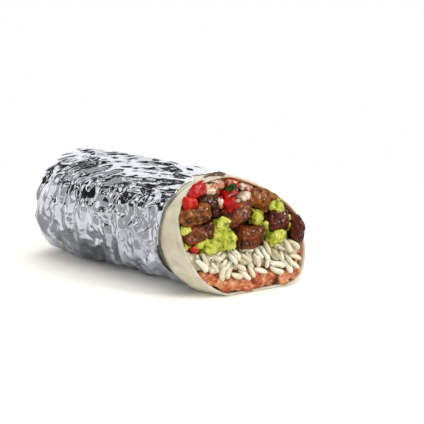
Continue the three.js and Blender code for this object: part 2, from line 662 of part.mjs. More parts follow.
// Each grain is moved out, tipped or shortened until it is clear of its neighbours, or is left out.
const obstacles = unite(taken);
const isClear = (one) => grain(one, growBy).intersect(obstacles).volume() < 1e-3;
const heap = riceCore(0);
const isHeld = (one) => grain(one).intersect(heap).volume() > 0.2;
const TRIED = { whole: [1, 0.85, 0.7], tipped: [0, -15, -30], moved: [0, 0.6, 1.2, 1.8, 2.4] };
function settle(one) {
  for (const whole of TRIED.whole)
    for (const tipped of TRIED.tipped)
      for (const moved of TRIED.moved) {
        const changed = { ...one, whole, tip: one.tip + tipped, out: one.out + moved };
        if (isClear(changed) && isHeld(changed)) return changed;
      }
  return null;
}
const grains = grainPlaces().map(settle).filter(Boolean);
placeFirst(
  "rice",
  unite([heap, ...grains.map((one) => grain(one))]),
  riceCore(GAP),
  riceMaterial,
);
place(
  "steak_layer",
  fill(LEVELS.guacamole, LEVELS.steak, flatBlock(-STEAK_SHAPE.buried - GAP)),
  steakMaterial,
);
place(
  "salsa_layer",
  fill(LEVELS.steak, above, flatBlock(-DICE_SHAPE.buried - GAP)),
  salsaMaterial,
);

// ---------------------------------------------------------------- wraps
group.add(meshOf("tortilla", tortilla(), tortillaMaterial));
group.add(meshOf("foil_wrap", foilWrap(), foilMaterial));

const part = new THREE.Group();
group.position.copy(MODEL_ORIGIN);
part.add(group);
export default part;
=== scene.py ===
import json
from itertools import product
from math import copysign, cos, pi, radians, sin, tan, tau

import bmesh
import bpy
import numpy as np
from mathutils import Euler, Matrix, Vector
from mathutils.bvhtree import BVHTree

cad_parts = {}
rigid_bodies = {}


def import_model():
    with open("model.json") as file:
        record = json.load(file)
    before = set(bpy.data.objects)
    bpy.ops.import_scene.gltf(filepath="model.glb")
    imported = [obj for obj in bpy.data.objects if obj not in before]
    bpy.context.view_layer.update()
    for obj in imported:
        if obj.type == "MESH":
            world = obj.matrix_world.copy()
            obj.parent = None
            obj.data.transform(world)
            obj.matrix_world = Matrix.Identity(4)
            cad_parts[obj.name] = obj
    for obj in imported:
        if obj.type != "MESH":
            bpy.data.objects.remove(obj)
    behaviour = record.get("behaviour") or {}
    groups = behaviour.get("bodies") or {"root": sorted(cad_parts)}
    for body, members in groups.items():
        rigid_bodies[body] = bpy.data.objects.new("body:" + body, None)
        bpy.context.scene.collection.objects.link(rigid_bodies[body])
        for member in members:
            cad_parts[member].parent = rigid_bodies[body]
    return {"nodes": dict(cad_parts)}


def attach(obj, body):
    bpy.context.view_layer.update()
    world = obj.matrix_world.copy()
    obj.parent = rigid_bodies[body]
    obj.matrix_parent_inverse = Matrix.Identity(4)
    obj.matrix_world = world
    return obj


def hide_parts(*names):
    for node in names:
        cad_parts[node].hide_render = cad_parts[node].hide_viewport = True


# Half of a large burrito in crumpled foil. Sizes are in millimetres, in the frame of the CAD nodes,
# and become metres where a mesh is made.
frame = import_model()
scene = bpy.context.scene
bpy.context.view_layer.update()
MM = 0.001
WELD = 0.002  # points of a CAD mesh this close together are one

# ---- the body's driving dimensions
LENGTH = 139
HALF_WIDTH_RIGHT, HALF_WIDTH_LEFT = 35.7, 35
HEIGHT = 66.3
MIDDLE_HEIGHT = 36
SQUARE_TOP_RIGHT, SQUARE_TOP_LEFT = 1.48, 2.4
SQUARE_BOTTOM_RIGHT, SQUARE_BOTTOM_LEFT = 3.3, 2.5
FLATTENED = 2.5
RIDGE_LEAN = -0.17
TAPER = 0.024
TAIL_ROUNDING, TAIL_SQUARENESS, TAIL_SLANT = 11, 2.4, 0.32
CUT_ANGLE, CUT_LEAN = radians(19), radians(7)
GAP = 0.3
WALL = 1.4
FOIL_SHEET = 0.6
CUFF = 2.4
BARE_TO_SWELL = 14.3
CUFF_BACK = (0.8, 0.95)
FOIL_EDGE_TOP, FOIL_EDGE_BOTTOM, FOIL_EDGE_WIDEST = 3.6, 20, 0.7
BELLY_SWELL, BELLY_TOWARD = 3, radians(212)
UNDER_FOIL = FOIL_SHEET + GAP
ORIGIN = np.array([66.75, -0.79, 0])  # of the body's own axes

# The cut face's axes: across it to the right, up it, and out of it.
ACROSS = np.array([sin(CUT_ANGLE), cos(CUT_ANGLE), 0])
OUT = np.array([1, -tan(CUT_ANGLE), tan(CUT_LEAN)])
OUT /= np.linalg.norm(OUT)
UP = np.cross(OUT, ACROSS)
FACE = np.stack([ACROSS, UP, OUT], -1)

# ---- noise


def hashed(i, j, k, seed):
    """A repeatable number from 0 to 1 for each cell of a grid."""
    total = i * 374761393 + j * 668265263 + k * 1274126177 + seed * 974634777
    h = (total & 0xFFFFFFFF).astype(np.uint32)
    h = (h ^ (h >> np.uint32(13))) * np.uint32(1103515245)
    h = (h ^ (h >> np.uint32(16))) * np.uint32(747796405)
    return (h ^ (h >> np.uint32(15))) / 4294967296


def lumps(points, size, seed):
    """Smooth noise from -1 to 1, with lumps about `size` across."""
    at = points / size
    cell = np.floor(at).astype(np.int64)
    part = at - cell
    weight = part * part * (3 - 2 * part)
    total = 0
    for corner in product((0, 1), repeat=3):
        share = np.prod([w if far else 1 - w for w, far in zip(weight.T, corner)], axis=0)
        total = total + share * hashed(*(cell + corner).T, seed)
    return 2 * total - 1


def sway(points, size, seeds):
    """A smooth shift for each point, from three noises."""
    return np.stack([lumps(points, size, seed) for seed in seeds], -1)


def crumbs(points, size, seed):
    """Rounded crumbs about `size` across: distance to the nearest scattered point, 0 at its middle."""
    return nearest(points, size, seed, lambda d: np.sqrt((d * d).sum(-1)))


CREASE_AXES = np.array(Euler((0.5, 0.7, 0.9), "ZYX").to_matrix()).T


def crease(points, cell, seed):
    """Flat facets with sharp creases: distance counted along the axes to the nearest scattered point."""
    return nearest(points @ CREASE_AXES, cell, seed, lambda d: np.abs(d).sum(-1))


def nearest(points, size, seed, measure):
    """The least `measure` of the way to a scattered point, one in each cell of a grid."""
    at = points / size
    corner = np.floor(at).astype(np.int64)
    best = np.full(len(points), np.inf)
    for offset in product((-1, 0, 1), repeat=3):
        cell = corner + offset
        spot = np.stack([hashed(*cell.T, seed + more) for more in (0, 100, 200)], -1)
        best = np.minimum(best, measure(at - cell - spot))
    return best


def ridged(points, size, seed):
    """Rounded facets between sharp ridges, from 0 to 1 at a ridge."""
    return 1 - np.abs(lumps(points, size, seed))


def smoothstep(x, low, high):
    t = np.clip((x - low) / (high - low), 0, 1)
    return t * t * (3 - 2 * t)


def between(x, low, high, sides):
    """1 from `low` to `high`, and down to 0 within `sides` of them."""
    return smoothstep(x, low - sides, low) * (1 - smoothstep(x, high, high + sides))


# ---- the wrapped body


def section_radius(angle):
    """From the section's middle to its outline, in the direction `angle` counted from +Y."""
    across, up = np.cos(angle), np.sin(angle)
    right, top = across >= 0, up >= 0
    half = np.where(right, HALF_WIDTH_RIGHT, HALF_WIDTH_LEFT)
    rise = np.where(top, HEIGHT - MIDDLE_HEIGHT, MIDDLE_HEIGHT + FLATTENED)
    above = np.where(right, SQUARE_TOP_RIGHT, SQUARE_TOP_LEFT)
    below = np.where(right, SQUARE_BOTTOM_RIGHT, SQUARE_BOTTOM_LEFT)
    power = np.where(top, above, below)
    return (np.abs(across / half) ** power + np.abs(up / rise) ** power) ** (-1 / power)


def foil_edge(angle):
    """Bare tortilla between the cut and the foil's edge: least at the top."""
    down = (1 - np.sin(angle)) / 2
    return FOIL_EDGE_TOP + (FOIL_EDGE_BOTTOM - FOIL_EDGE_TOP) * smoothstep(down, 0, FOIL_EDGE_WIDEST)


def body_point(angle, station, inset, floor):
    """A point `inset` inside the cut's outline, `station` behind the cut, no lower than `floor`."""
    length = LENGTH - inset
    closing = np.clip((station - length + TAIL_ROUNDING) / TAIL_ROUNDING, 0, 1)
    taper = (1 - closing**TAIL_SQUARENESS) ** (1 / TAIL_SQUARENESS)
    radius = (section_radius(angle) - inset) * taper
    y = radius * (np.cos(angle) + RIDGE_LEAN * np.sin(angle))
    back = np.maximum(station, 0) / LENGTH
    z = np.maximum((MIDDLE_HEIGHT + radius * np.sin(angle)) * (1 - TAPER * back), floor)
    bias = y * tan(CUT_ANGLE) - z * tan(CUT_LEAN)
    slant = TAIL_SLANT * (HEIGHT / 2 - z) * back * back
    return np.stack([bias * (1 - back) - station - slant, y, z], -1) + ORIGIN


def cuff(angle, strip):
    """How far the bare end swells outwards, a share `strip` of the way from the cut to the foil."""
    swell = CUFF * np.minimum(1, foil_edge(angle) / BARE_TO_SWELL)
    sag = BELLY_SWELL * strip * np.maximum(0, np.cos(angle - BELLY_TOWARD)) ** 2
    return (swell + sag) * (1 - smoothstep(strip, *CUFF_BACK))


def face_point(u, v, n):
    """A point of the cut face, u across it, v up it and n out of it."""
    return ORIGIN + FACE @ (u, v, n)


# ---- meshes


def loft(rings, join_ends=False):
    """Points and faces of a surface through rings, each a closed loop or a single point."""
    starts = np.cumsum([0] + [len(r) for r in rings])
    faces = []
    for a in range(len(rings) - (not join_ends)):
        b = (a + 1) % len(rings)
        here = np.arange(max(len(rings[a]), len(rings[b])))
        after = (here + 1) % len(here)
        corners = ((a, here), (a, after), (b, after), (b, here))
        strip = np.stack([starts[ring] + at % len(rings[ring]) for ring, at in corners], -1)
        # A single point comes up twice in each of its faces, and counts once.
        faces += [list(dict.fromkeys(face)) for face in strip.tolist() if len(here) > 1]
    return np.concatenate(rings), faces


def gathered(shapes):
    """The points and faces of many shapes as those of one."""
    starts = np.cumsum([0] + [len(points) for points, _ in shapes]).tolist()
    faces = [[start + i for i in face] for start, (_, its_faces) in zip(starts, shapes) for face in its_faces]
    return np.concatenate([points for points, _ in shapes]), faces


def in_scene(name, data):
    piece = bpy.data.objects.new(name, data)
    scene.collection.objects.link(piece)
    return piece


def make_object(name, points, faces):
    """A smooth piece whose closed surfaces face outwards."""
    mesh = bpy.data.meshes.new(name)
    mesh.from_pydata((points * MM).tolist(), [], faces)
    mesh.shade_smooth()
    mesh.validate()
    shape = bmesh.new()
    shape.from_mesh(mesh)
    bmesh.ops.recalc_face_normals(shape, faces=shape.faces)
    shape.to_mesh(mesh)
    shape.free()
    return in_scene(name, mesh)


def vectors_of(items, name):
    flat = np.empty(len(items) * 3, np.float32)
    items.foreach_get(name, flat)
    return flat.reshape(-1, 3).astype(float)


def points_of(mesh):
    return vectors_of(mesh.vertices, "co") / MM


def move_points(mesh, points):
    mesh.vertices.foreach_set("co", (points * MM).astype(np.float32).ravel())
    mesh.update()


def store(mesh, name, values):
    """Keeps a number for each vertex, for the materials to read."""
    mesh.attributes.new(name, "FLOAT", "POINT").data.foreach_set("value", values.astype(np.float32))


SHOWS = "shows"  # marks the finished pieces


def dress(piece, its_material, slot, *nodes):
    """Hands a finished piece over: its material, body and the nodes that it stands for. The slot is not used.
    """
    piece.data.materials.clear()
    piece.data.materials.append(its_material)
    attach(piece, "root")
    if nodes:
        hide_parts(*nodes)
    piece[SHOWS] = True


def applied(piece):
    """Turns a piece's modifiers into its mesh."""
    graph = bpy.context.evaluated_depsgraph_get()
    mesh = bpy.data.meshes.new_from_object(piece.evaluated_get(graph))
    piece.modifiers.clear()
    piece.data = mesh
    mesh.shade_smooth()
    return piece


def remeshed(name, mesh, voxel, softened=3):
    """A fine even mesh over a closed form."""
    piece = in_scene(name, mesh)
    remesh = piece.modifiers.new("remesh", "REMESH")
    remesh.mode = "VOXEL"
    remesh.voxel_size = voxel * MM
    soften = piece.modifiers.new("soften", "SMOOTH")
    soften.iterations = softened
    soften.factor = 0.5
    return applied(piece)


def parted(mesh, depth):
    """What is in front of a plane `depth` behind the cut, and what is behind it, both closed."""
    halves = []
    for clear_front in (False, True):
        shape = bmesh.new()
        shape.from_mesh(mesh)
        bmesh.ops.remove_doubles(shape, verts=shape.verts, dist=WELD * MM)
        cut = bmesh.ops.bisect_plane(
            shape,
            geom=shape.verts[:] + shape.edges[:] + shape.faces[:],
            plane_co=Vector((ORIGIN - depth * OUT) * MM),
            plane_no=Vector(OUT),
            clear_outer=clear_front,
            clear_inner=not clear_front,
        )
        rim = [e for e in cut["geom_cut"] if isinstance(e, bmesh.types.BMEdge) and e.is_boundary]
        bmesh.ops.triangle_fill(shape, use_beauty=True, edges=rim)
        bmesh.ops.recalc_face_normals(shape, faces=shape.faces)
        half = bpy.data.meshes.new("half")
        shape.to_mesh(half)
        shape.free()
        halves.append(half)
    return halves


RELIEF_SPAN = (2, 98)  # the shares of the heights, in percent, that count as lowest and highest
WARP_SIZE, WARP_SEEDS = 6.5, (61, 62, 63)


def rough(piece, relief):
    """Gives a fine mesh its relief along its normals, and keeps it for the material."""
    points = points_of(piece.data)
    height = relief(points)
    normals = vectors_of(piece.data.vertex_normals, "vector")
    move_points(piece.data, points + normals * height[:, None])
    low, high = np.percentile(height, RELIEF_SPAN)
    store(piece.data, "relief", np.clip((height - low) / (high - low), 0, 1))
    return piece


def chunk(node, name, voxel, relief, softened=3, warp=0.0):
    """A piece of food over its node: softened, its form bent by up to `warp`, and given its relief."""
    piece = remeshed(name, frame["nodes"][node].data.copy(), voxel, softened)
    points = points_of(piece.data)
    move_points(piece.data, points + warp * sway(points, WARP_SIZE, WARP_SEEDS))
    return rough(piece, relief)


def layer(node, name, voxel, relief, cut_at=14, kept_from=0):
    """A layer that runs through the burrito, made fine where it shows at the cut."""
    mesh = frame["nodes"][node].data
    if kept_from:
        _, mesh = parted(mesh, kept_from)
    front, back = parted(mesh, cut_at)
    piece = rough(remeshed(name, front, voxel), relief)
    return joined([piece, in_scene(name + "_rest", back)])


def joined(pieces):
    """Joins pieces into the first."""
    with bpy.context.temp_override(
        active_object=pieces[0], selected_editable_objects=pieces, selected_objects=pieces
    ):
        bpy.ops.object.join()
    return pieces[0]


# ---- material nodes


def srgb(red, green, blue):
    """A colour as it is seen, 0 to 255, as the linear colour that a shader takes."""
    linear = [((c / 255 + 0.055) / 1.055) ** 2.4 if c > 10 else c / 255 / 12.92 for c in (red, green, blue)]
    return (*linear, 1)


def add(tree, kind, inputs=None, output=0, **settings):
    """Adds a node and returns its output; an input is a number, a colour or another node's output."""
    node = tree.nodes.new("ShaderNode" + kind)
    for key, value in settings.items():
        setattr(node, key, value)
    for key, value in (inputs or {}).items():
        if isinstance(value, bpy.types.NodeSocket):
            tree.links.new(value, node.inputs[key])
        else:
            node.inputs[key].default_value = value
    return node.outputs[output] if node.outputs else None


def place_in(tree, stretch=(1, 1, 1)):
    """A point's place in its piece."""
    at = add(tree, "TexCoord", output=3)
    return add(tree, "Mapping", {0: at, 3: stretch})


def noise(tree, size, detail=3, roughness=0.55, stretch=(1, 1, 1), distortion=0):
    inputs = {
        "Vector": place_in(tree, stretch),
        "Scale": 1 / (size * MM),
        "Detail": detail,
        "Roughness": roughness,
        "Distortion": distortion,
    }
    return add(tree, "TexNoise", inputs)


def attribute(tree, name):
    return add(tree, "Attribute", output=2, attribute_name=name)


def ramp(tree, value, stops):
    """Maps a number to colours; stops are (place, colour)."""
    node = tree.nodes.new("ShaderNodeValToRGB")
    tree.links.new(value, node.inputs[0])
    points = node.color_ramp.elements
    while len(points) < len(stops):
        points.new(0.5)
    for point, (place, color) in zip(points, stops):
        point.position = place
        point.color = color
    return node.outputs[0]


def shades(tree, value, *stops):
    """Maps a number to colours as they are seen; each stop is (place, red, green, blue)."""
    return ramp(tree, value, [(place, srgb(*color)) for place, *color in stops])


def step(tree, value, low, high, to_low=0.0, to_high=1.0):
    """Maps a number smoothly from one range to another."""
    inputs = {0: value, 1: low, 2: high, 3: to_low, 4: to_high}
    return add(tree, "MapRange", inputs, interpolation_type="SMOOTHSTEP")


def mix(tree, share, first, second):
    return add(tree, "Mix", {0: share, 6: first, 7: second}, 2, data_type="RGBA")


def math_node(tree, operation, a, b):
    return add(tree, "Math", {0: a, 1: b}, operation=operation)


def times(tree, a, b):
    return math_node(tree, "MULTIPLY", a, b)


def bump(tree, height, distance, strength=1.0, normal=None):
    inputs = {"Height": height, "Distance": distance * MM, "Strength": strength}
    if normal:
        inputs["Normal"] = normal
    return add(tree, "Bump", inputs)


def material(name, build):
    """A material whose surface is what `build` says: the inputs of a Principled shader."""
    made = bpy.data.materials.new(name)
    made.use_nodes = True
    tree = made.node_tree
    tree.nodes.clear()
    surface = add(tree, "BsdfPrincipled", build(tree))
    add(tree, "OutputMaterial", {"Surface": surface})
    return made


def principled(color, roughness, normal, metallic=0, specular=0.5, coat=(0, 0), depth=(0, 1, 1, 1)):
    """The inputs of a Principled shader. The coat has a weight and a roughness, and the depth has a weight
    and how many millimetres red, green and blue light go in."""
    return {
        "Base Color": color,
        "Roughness": roughness,
        "Normal": normal,
        "Metallic": metallic,
        "Specular IOR Level": specular,
        "Coat Weight": coat[0],
        "Coat Roughness": coat[1],
        "Subsurface Weight": depth[0],
        "Subsurface Radius": depth[1:],
        "Subsurface Scale": MM,
    }


# ---- materials


def foil_surface(tree):
    dull = noise(tree, 6, 3)
    fine = mix(
        tree,
        attribute(tree, "on_top"),
        noise(tree, 1.5, 3, 0.6, (0.8, 1, 1), 0.4),
        noise(tree, 1.2, 3, 0.55, (0.25, 1, 1)),
    )
    color = mix(tree, step(tree, dull, 0.35, 0.7), srgb(222, 225, 230), srgb(236, 238, 241))
    # Painted shadow: near-black where the foil meets the cuff low on the near side, standing in for the
    # cuff's shadow.
    color = mix(tree, attribute(tree, "painted_gap_shadow"), color, srgb(40, 30, 24))
    return principled(color, step(tree, dull, 0.3, 0.7, 0.03, 0.08), bump(tree, fine, 0.2, 0.08), metallic=1)


def tortilla_surface(tree):
    flour = noise(tree, 9, 4, 0.6)
    blotch = step(tree, noise(tree, 5, 3, 0.5), 0.6, 0.72)
    freckle = step(tree, noise(tree, 1.6, 2), 0.66, 0.76)
    color = mix(tree, step(tree, flour, 0.35, 0.68), srgb(195, 188, 163), srgb(209, 203, 184))
    color = mix(tree, times(tree, blotch, 0.35), color, srgb(202, 170, 118))
    color = mix(tree, times(tree, freckle, 0.25), color, srgb(190, 150, 98))
    uneven = step(tree, noise(tree, 3, 3), 0.2, 0.62, 0.4, 1.15)
    # The band along the foil's edge is toasted brown and painted shade together; the spot on top is scorched.
    color = mix(tree, times(tree, attribute(tree, "toast_and_shade"), uneven), color, srgb(76, 46, 22))
    soaked = step(tree, flour, 0.3, 0.65, 0.5, 0.9)
    color = mix(tree, times(tree, attribute(tree, "stain"), soaked), color, srgb(214, 160, 122))
    normal = bump(tree, noise(tree, 0.9, 3), 0.12, 0.5, bump(tree, noise(tree, 4, 3), 0.5, 0.35))
    return principled(color, 0.62, normal, depth=(0.15, 2.2, 1.4, 0.8))


def beans_surface(tree):
    mash = noise(tree, 5.5, 4, 0.55, distortion=0.6)
    color = shades(
        tree, mash, (0.3, 136, 50, 18), (0.42, 176, 92, 50), (0.54, 202, 130, 82), (0.68, 230, 178, 130)
    )
    bits = step(tree, noise(tree, 5.5, 1, 0.4, (1, 0.6, 1.2), 0.8), 0.58, 0.62)
    color = mix(tree, times(tree, bits, 0.7), color, srgb(164, 52, 24))
    # Painted shade: the mash is darkened in its hollows, where shade falls.
    painted_hollow_shade = step(tree, attribute(tree, "relief"), 0.45, 0.0, 0, 0.85)
    color = mix(tree, painted_hollow_shade, color, srgb(84, 22, 8))
    roughness = step(tree, noise(tree, 1.6, 2), 0.3, 0.7, 0.2, 0.5)
    normal = bump(tree, noise(tree, 1.1, 4, 0.6), 0.5, 0.6)
    return principled(color, roughness, normal, specular=0.25, coat=(0.12, 0.08), depth=(0.08, 1.5, 0.7, 0.4))


def rice_surface(tree):
    tint = attribute(tree, "tint")
    color = shades(tree, tint, (0.0, 186, 172, 134), (0.25, 208, 199, 170), (0.7, 228, 223, 203))
    color = mix(tree, step(tree, noise(tree, 2, 3), 0.4, 0.7, 0, 0.4), color, srgb(204, 190, 154))
    return principled(color, 0.34, bump(tree, noise(tree, 0.7, 2), 0.06, 0.5), depth=(0.25, 1.0, 0.9, 0.7))


def guacamole_surface(tree):
    relief = attribute(tree, "relief")
    pulp = noise(tree, 3.2, 4, 0.6)
    color = shades(
        tree, pulp, (0.34, 96, 122, 10), (0.44, 158, 172, 26), (0.56, 188, 190, 50), (0.7, 214, 208, 90)
    )
    # Painted shade: darker green in the hollows.
    color = mix(tree, step(tree, relief, 0.35, 0.0, 0, 0.6), color, srgb(118, 130, 16))
    # Painted highlight: paler yellow on the tops of the lumps.
    color = mix(tree, step(tree, relief, 0.6, 1.0, 0, 0.5), color, srgb(224, 220, 108))
    roughness = step(tree, noise(tree, 1.2, 2), 0.3, 0.7, 0.2, 0.45)
    normal = bump(tree, noise(tree, 1.1, 4, 0.65), 0.8, 0.9)
    return principled(color, roughness, normal, depth=(0.2, 1.6, 1.6, 0.4))


PALE_FIBRES, PALE_LIFT, DEEP_FIBRES = 2.1, 0.007, 0.3  # against the meat's light and dark colours


def steak_surface(light, dark, wet):
    """Seared meat between a light and a dark colour, with pale and deep fibres, painted shade in its hollows,
    and a wet coat.
    """
    pale = tuple(min(1, PALE_FIBRES * c + PALE_LIFT) for c in light[:3]) + (1,)
    deep = tuple(DEEP_FIBRES * c for c in dark[:3]) + (1,)

    def build(tree):
        relief = attribute(tree, "relief")
        seared = step(tree, noise(tree, 4.5, 3, 0.6), 0.38, 0.62)
        fibre = noise(tree, 1.7, 4, 0.75, (1, 0.7, 0.9))
        color = mix(tree, times(tree, seared, 0.5), light, dark)
        color = mix(tree, step(tree, fibre, 0.51, 0.64, 0, 0.75), color, pale)
        color = mix(tree, step(tree, fibre, 0.48, 0.38, 0, 0.75), color, deep)
        # Painted shade: the deep colour again in the hollows.
        color = mix(tree, step(tree, relief, 0.4, 0.0, 0, 0.85), color, deep)
        roughness = step(tree, noise(tree, 1.5, 3), 0.35, 0.65, 0.3, 0.55)
        normal = bump(tree, fibre, 1.2, 1.0, bump(tree, noise(tree, 0.6, 2), 0.3, 0.9))
        return principled(color, roughness, normal, specular=0.04, coat=(wet, 0.05))

    return build


def tomato_surface(skin, flesh):
    def build(tree):
        pulp = noise(tree, 3.5, 3, 0.6, distortion=0.4)
        color = mix(tree, step(tree, pulp, 0.42, 0.68), skin, flesh)
        # Painted shade: dark red in the hollows.
        color = mix(tree, step(tree, attribute(tree, "relief"), 0.5, 0.0, 0, 0.7), color, srgb(92, 8, 4))
        normal = bump(tree, noise(tree, 1.3, 3), 0.35, 0.5)
        return principled(color, 0.3, normal, specular=0.12, coat=(0.14, 0.04), depth=(0.12, 2, 0.3, 0.2))

    return build


def onion_surface(tree):
    streak = noise(tree, 1.6, 3, 0.5, (1, 1, 0.3))
    color = mix(tree, step(tree, streak, 0.35, 0.7), srgb(196, 172, 148), srgb(222, 210, 194))
    color = mix(tree, step(tree, noise(tree, 4, 2), 0.5, 0.7, 0, 0.6), color, srgb(196, 122, 92))
    return principled(color, 0.18, bump(tree, streak, 0.15, 0.5), depth=(0.4, 2.5, 2, 1.5))


VEINS_APART = 1.6


def leaf_surface(tree):
    inputs = {"Vector": place_in(tree), "Scale": 1 / (VEINS_APART * MM)}
    vein = add(tree, "TexVoronoi", inputs, feature="DISTANCE_TO_EDGE")
    color = mix(tree, step(tree, vein, 0.0, 0.12, 1, 0), srgb(34, 58, 6), srgb(66, 92, 14))
    color = mix(tree, noise(tree, 2.5, 2), color, srgb(18, 40, 6))
    return principled(color, 0.5, bump(tree, vein, 0.2, 0.6), specular=0.06, depth=(0.1, 0.4, 0.8, 0.2))


def salsa_surface(tree):
    pulp = noise(tree, 4, 3, 0.6, distortion=0.5)
    color = shades(
        tree, pulp, (0.3, 140, 48, 26), (0.42, 184, 98, 62), (0.54, 200, 140, 98), (0.7, 212, 178, 136)
    )
    # Painted shade: dark brown in the hollows.
    color = mix(tree, step(tree, attribute(tree, "relief"), 0.4, 0.0, 0, 0.7), color, srgb(70, 26, 12))
    normal = bump(tree, noise(tree, 1.2, 3), 0.3, 0.5)
    return principled(color, 0.24, normal, coat=(0.3, 0.08), depth=(0.2, 2, 0.8, 0.5))


FOIL = material("foil", foil_surface)
TORTILLA = material("tortilla", tortilla_surface)
BEANS = material("beans", beans_surface)
RICE = material("rice", rice_surface)
GUACAMOLE = material("guacamole", guacamole_surface)
BROWN_STEAK = material("steak_brown", steak_surface(srgb(138, 80, 32), srgb(82, 40, 13), 0.3))
DARK_STEAK = material("steak_dark", steak_surface(srgb(118, 56, 22), srgb(60, 22, 6), 0.4))
DEEP_STEAK = material("steak_deep", steak_surface(srgb(74, 31, 8), srgb(38, 13, 2), 0.3))
GLOSSY_STEAK = material("steak_glossy", steak_surface(srgb(94, 30, 8), srgb(32, 7, 1), 0.5))
RED_TOMATO = material("tomato_red", tomato_surface(srgb(160, 6, 0), srgb(184, 18, 6)))
PINK_TOMATO = material("tomato_flesh", tomato_surface(srgb(178, 20, 8), srgb(206, 70, 44)))
ONION = material("onion", onion_surface)
LEAF = material("leaf", leaf_surface)
SALSA = material("salsa", salsa_surface)

# ---- tortilla
AROUND_FINE = 300
STRIP_ROWS = 18
# Shares of the way from the foil's edge to the tail.
FRONT_ROWS = (0.006, 0.012, 0.02, 0.03, 0.042, 0.056, 0.075)
WRAPPED_ROWS = (0.1, 0.25, 0.5, 0.75, 0.88, 0.91, 0.94, 0.955, 0.97, 0.98, 0.987, 0.994)
EDGE_ROUNDING = 0.35
PINCH = 0.8  # how far the foil presses the tortilla in at its edge
# The scorched spot on top: the angle it lies at and half of the angle it takes, how far behind the cut,
# half its length along the burrito, how far it stands up, and where in the bare strip it starts to.
TOP_SPOT, TOP_SPOT_HALF = radians(98), radians(13)
TOP_SPOT_BACK, TOP_SPOT_LONG = 5, 6
BULGE, BULGE_RISE = 1.9, (0.05, 0.7)
# The band along the foil's edge is partly toasted tortilla and partly painted shade where the bare end curves
# in under the foil; the spot on top is scorched.
SPOT_TOAST, BAND_TOAST_AND_SHADE, BAND_FROM, BAND_TO = 1.6, 0.9, 0.58, 0.8  # how brown, and where in the bare strip
# Inside, the tortilla is stained by the salsa, from low on the right round to the top left.
STAIN_FROM, STAIN_TO, STAIN_SIDES = radians(-25), radians(125), radians(20)
INSIDE_TOAST, EDGE_TOAST, EDGE_STAIN = 0.3, 0.6, 0.5  # shares of what the faces beside them have


def angles(count):
    return np.arange(count) / count * 2 * pi


def wrapped_station(edge, share, inset):
    """How far behind the cut a share of the way from the foil's edge to the tail is."""
    return edge + share * (LENGTH - inset - edge)


def wrapped_ring(around, share, inset, floor):
    return body_point(around, wrapped_station(foil_edge(around), share, inset), inset, floor)


def tail_point(inset, floor):
    return body_point(np.zeros(1), np.full(1, LENGTH - inset), inset, floor)


def strip_ring(around, strip, depth, ahead=0.0):
    floor = UNDER_FOIL * smoothstep(strip, *CUFF_BACK) + depth
    pinched = PINCH * smoothstep(strip, *CUFF_BACK) if depth == 0 else 0
    station = strip * foil_edge(around)
    bulge = BULGE * smoothstep(strip, *BULGE_RISE) * scorched_spot(around, station) if depth == 0 else 0
    inset = CUFF - cuff(around, strip) + depth + pinched - bulge
    return body_point(around, station - ahead, inset, floor)


def scorched_spot(angle, station):
    """How near a place is to the scorched spot on top, up to 1 at its middle."""
    around = (np.abs(angle - TOP_SPOT) / TOP_SPOT_HALF) ** 2
    along = ((station - TOP_SPOT_BACK) / TOP_SPOT_LONG) ** 2
    return 1 - smoothstep(np.sqrt(around + along), 0.4, 1)


def make_tortilla():
    around = angles(AROUND_FINE)
    loop = loop_place(around)
    wave = 0.35 * lumps(loop, 7, 81) + 0.15 * lumps(loop, 2.5, 82)  # of the cut edge, along the burrito
    strips = np.linspace(0, CUFF_BACK[1], STRIP_ROWS)
    shares = FRONT_ROWS + WRAPPED_ROWS

    def side(depth):
        """One side of the tortilla, from the cut to the tail."""
        bare = [strip_ring(around, s, depth, wave * (1 - s) - EDGE_ROUNDING * (s == 0)) for s in strips]
        wrapped = [wrapped_ring(around, s, CUFF + depth, UNDER_FOIL + depth) for s in shares]
        return [*bare, *wrapped, tail_point(CUFF + depth, UNDER_FOIL + depth)]

    edge = [strip_ring(around, 0.0, depth, wave) for depth in (WALL - EDGE_ROUNDING, EDGE_ROUNDING)]
    piece = make_object("tortilla_wrap", *loft([*side(0.0), *side(WALL)[::-1], *edge], join_ends=True))
    toast_and_shade = [toasting(around, s * foil_edge(around), s) for s in strips]
    under = [toasting(around, foil_edge(around) + s * LENGTH, 0) for s in shares]
    pale = [0 * around] * len(shares)
    brown = [*toast_and_shade, *under, [0], [0], *pale, *[INSIDE_TOAST * t for t in toast_and_shade[::-1]]]
    brown += [EDGE_TOAST * toast_and_shade[0], toast_and_shade[0]]
    store(piece.data, "toast_and_shade", np.concatenate(brown))
    from_right = np.where(around > pi, around - tau, around)
    wet = between(from_right, STAIN_FROM, STAIN_TO, STAIN_SIDES)
    rows = len(strips) + len(shares)
    dry = np.zeros(len(around) * rows + 2)
    stained = [dry, *[wet] * rows, EDGE_STAIN * wet, 0 * wet]
    store(piece.data, "stain", np.concatenate(stained))
    dress(piece, TORTILLA, "tortilla", "tortilla")


def loop_place(angle, back=0):
    """Where noise is read for the tortilla, on a loop round it."""
    return np.stack([np.cos(angle), np.sin(angle), 0 * angle + back], -1) * HEIGHT / 2


def toasting(angle, station, strip):
    """How brown the tortilla is: along the foil's edge, toasted and with painted shade where it curves in
    under the foil, and at a scorched spot on top.
    """
    loop = loop_place(angle, station / 30)
    band = smoothstep(strip + 0.12 * lumps(loop, 9, 83), BAND_FROM, BAND_TO)
    spot = smoothstep(scorched_spot(angle, station) + 0.15 * lumps(loop, 3, 84), 0.05, 0.4)
    return np.maximum(BAND_TOAST_AND_SHADE * band, SPOT_TOAST * spot)


make_tortilla()

# ---- foil
FOIL_AROUND, FOIL_CROWDED = 410, 0.35  # its points lie closer together on the near side
FOIL_ROWS = np.concatenate([np.linspace(0, 0.9, 200), np.linspace(0.905, 0.999, 22)])
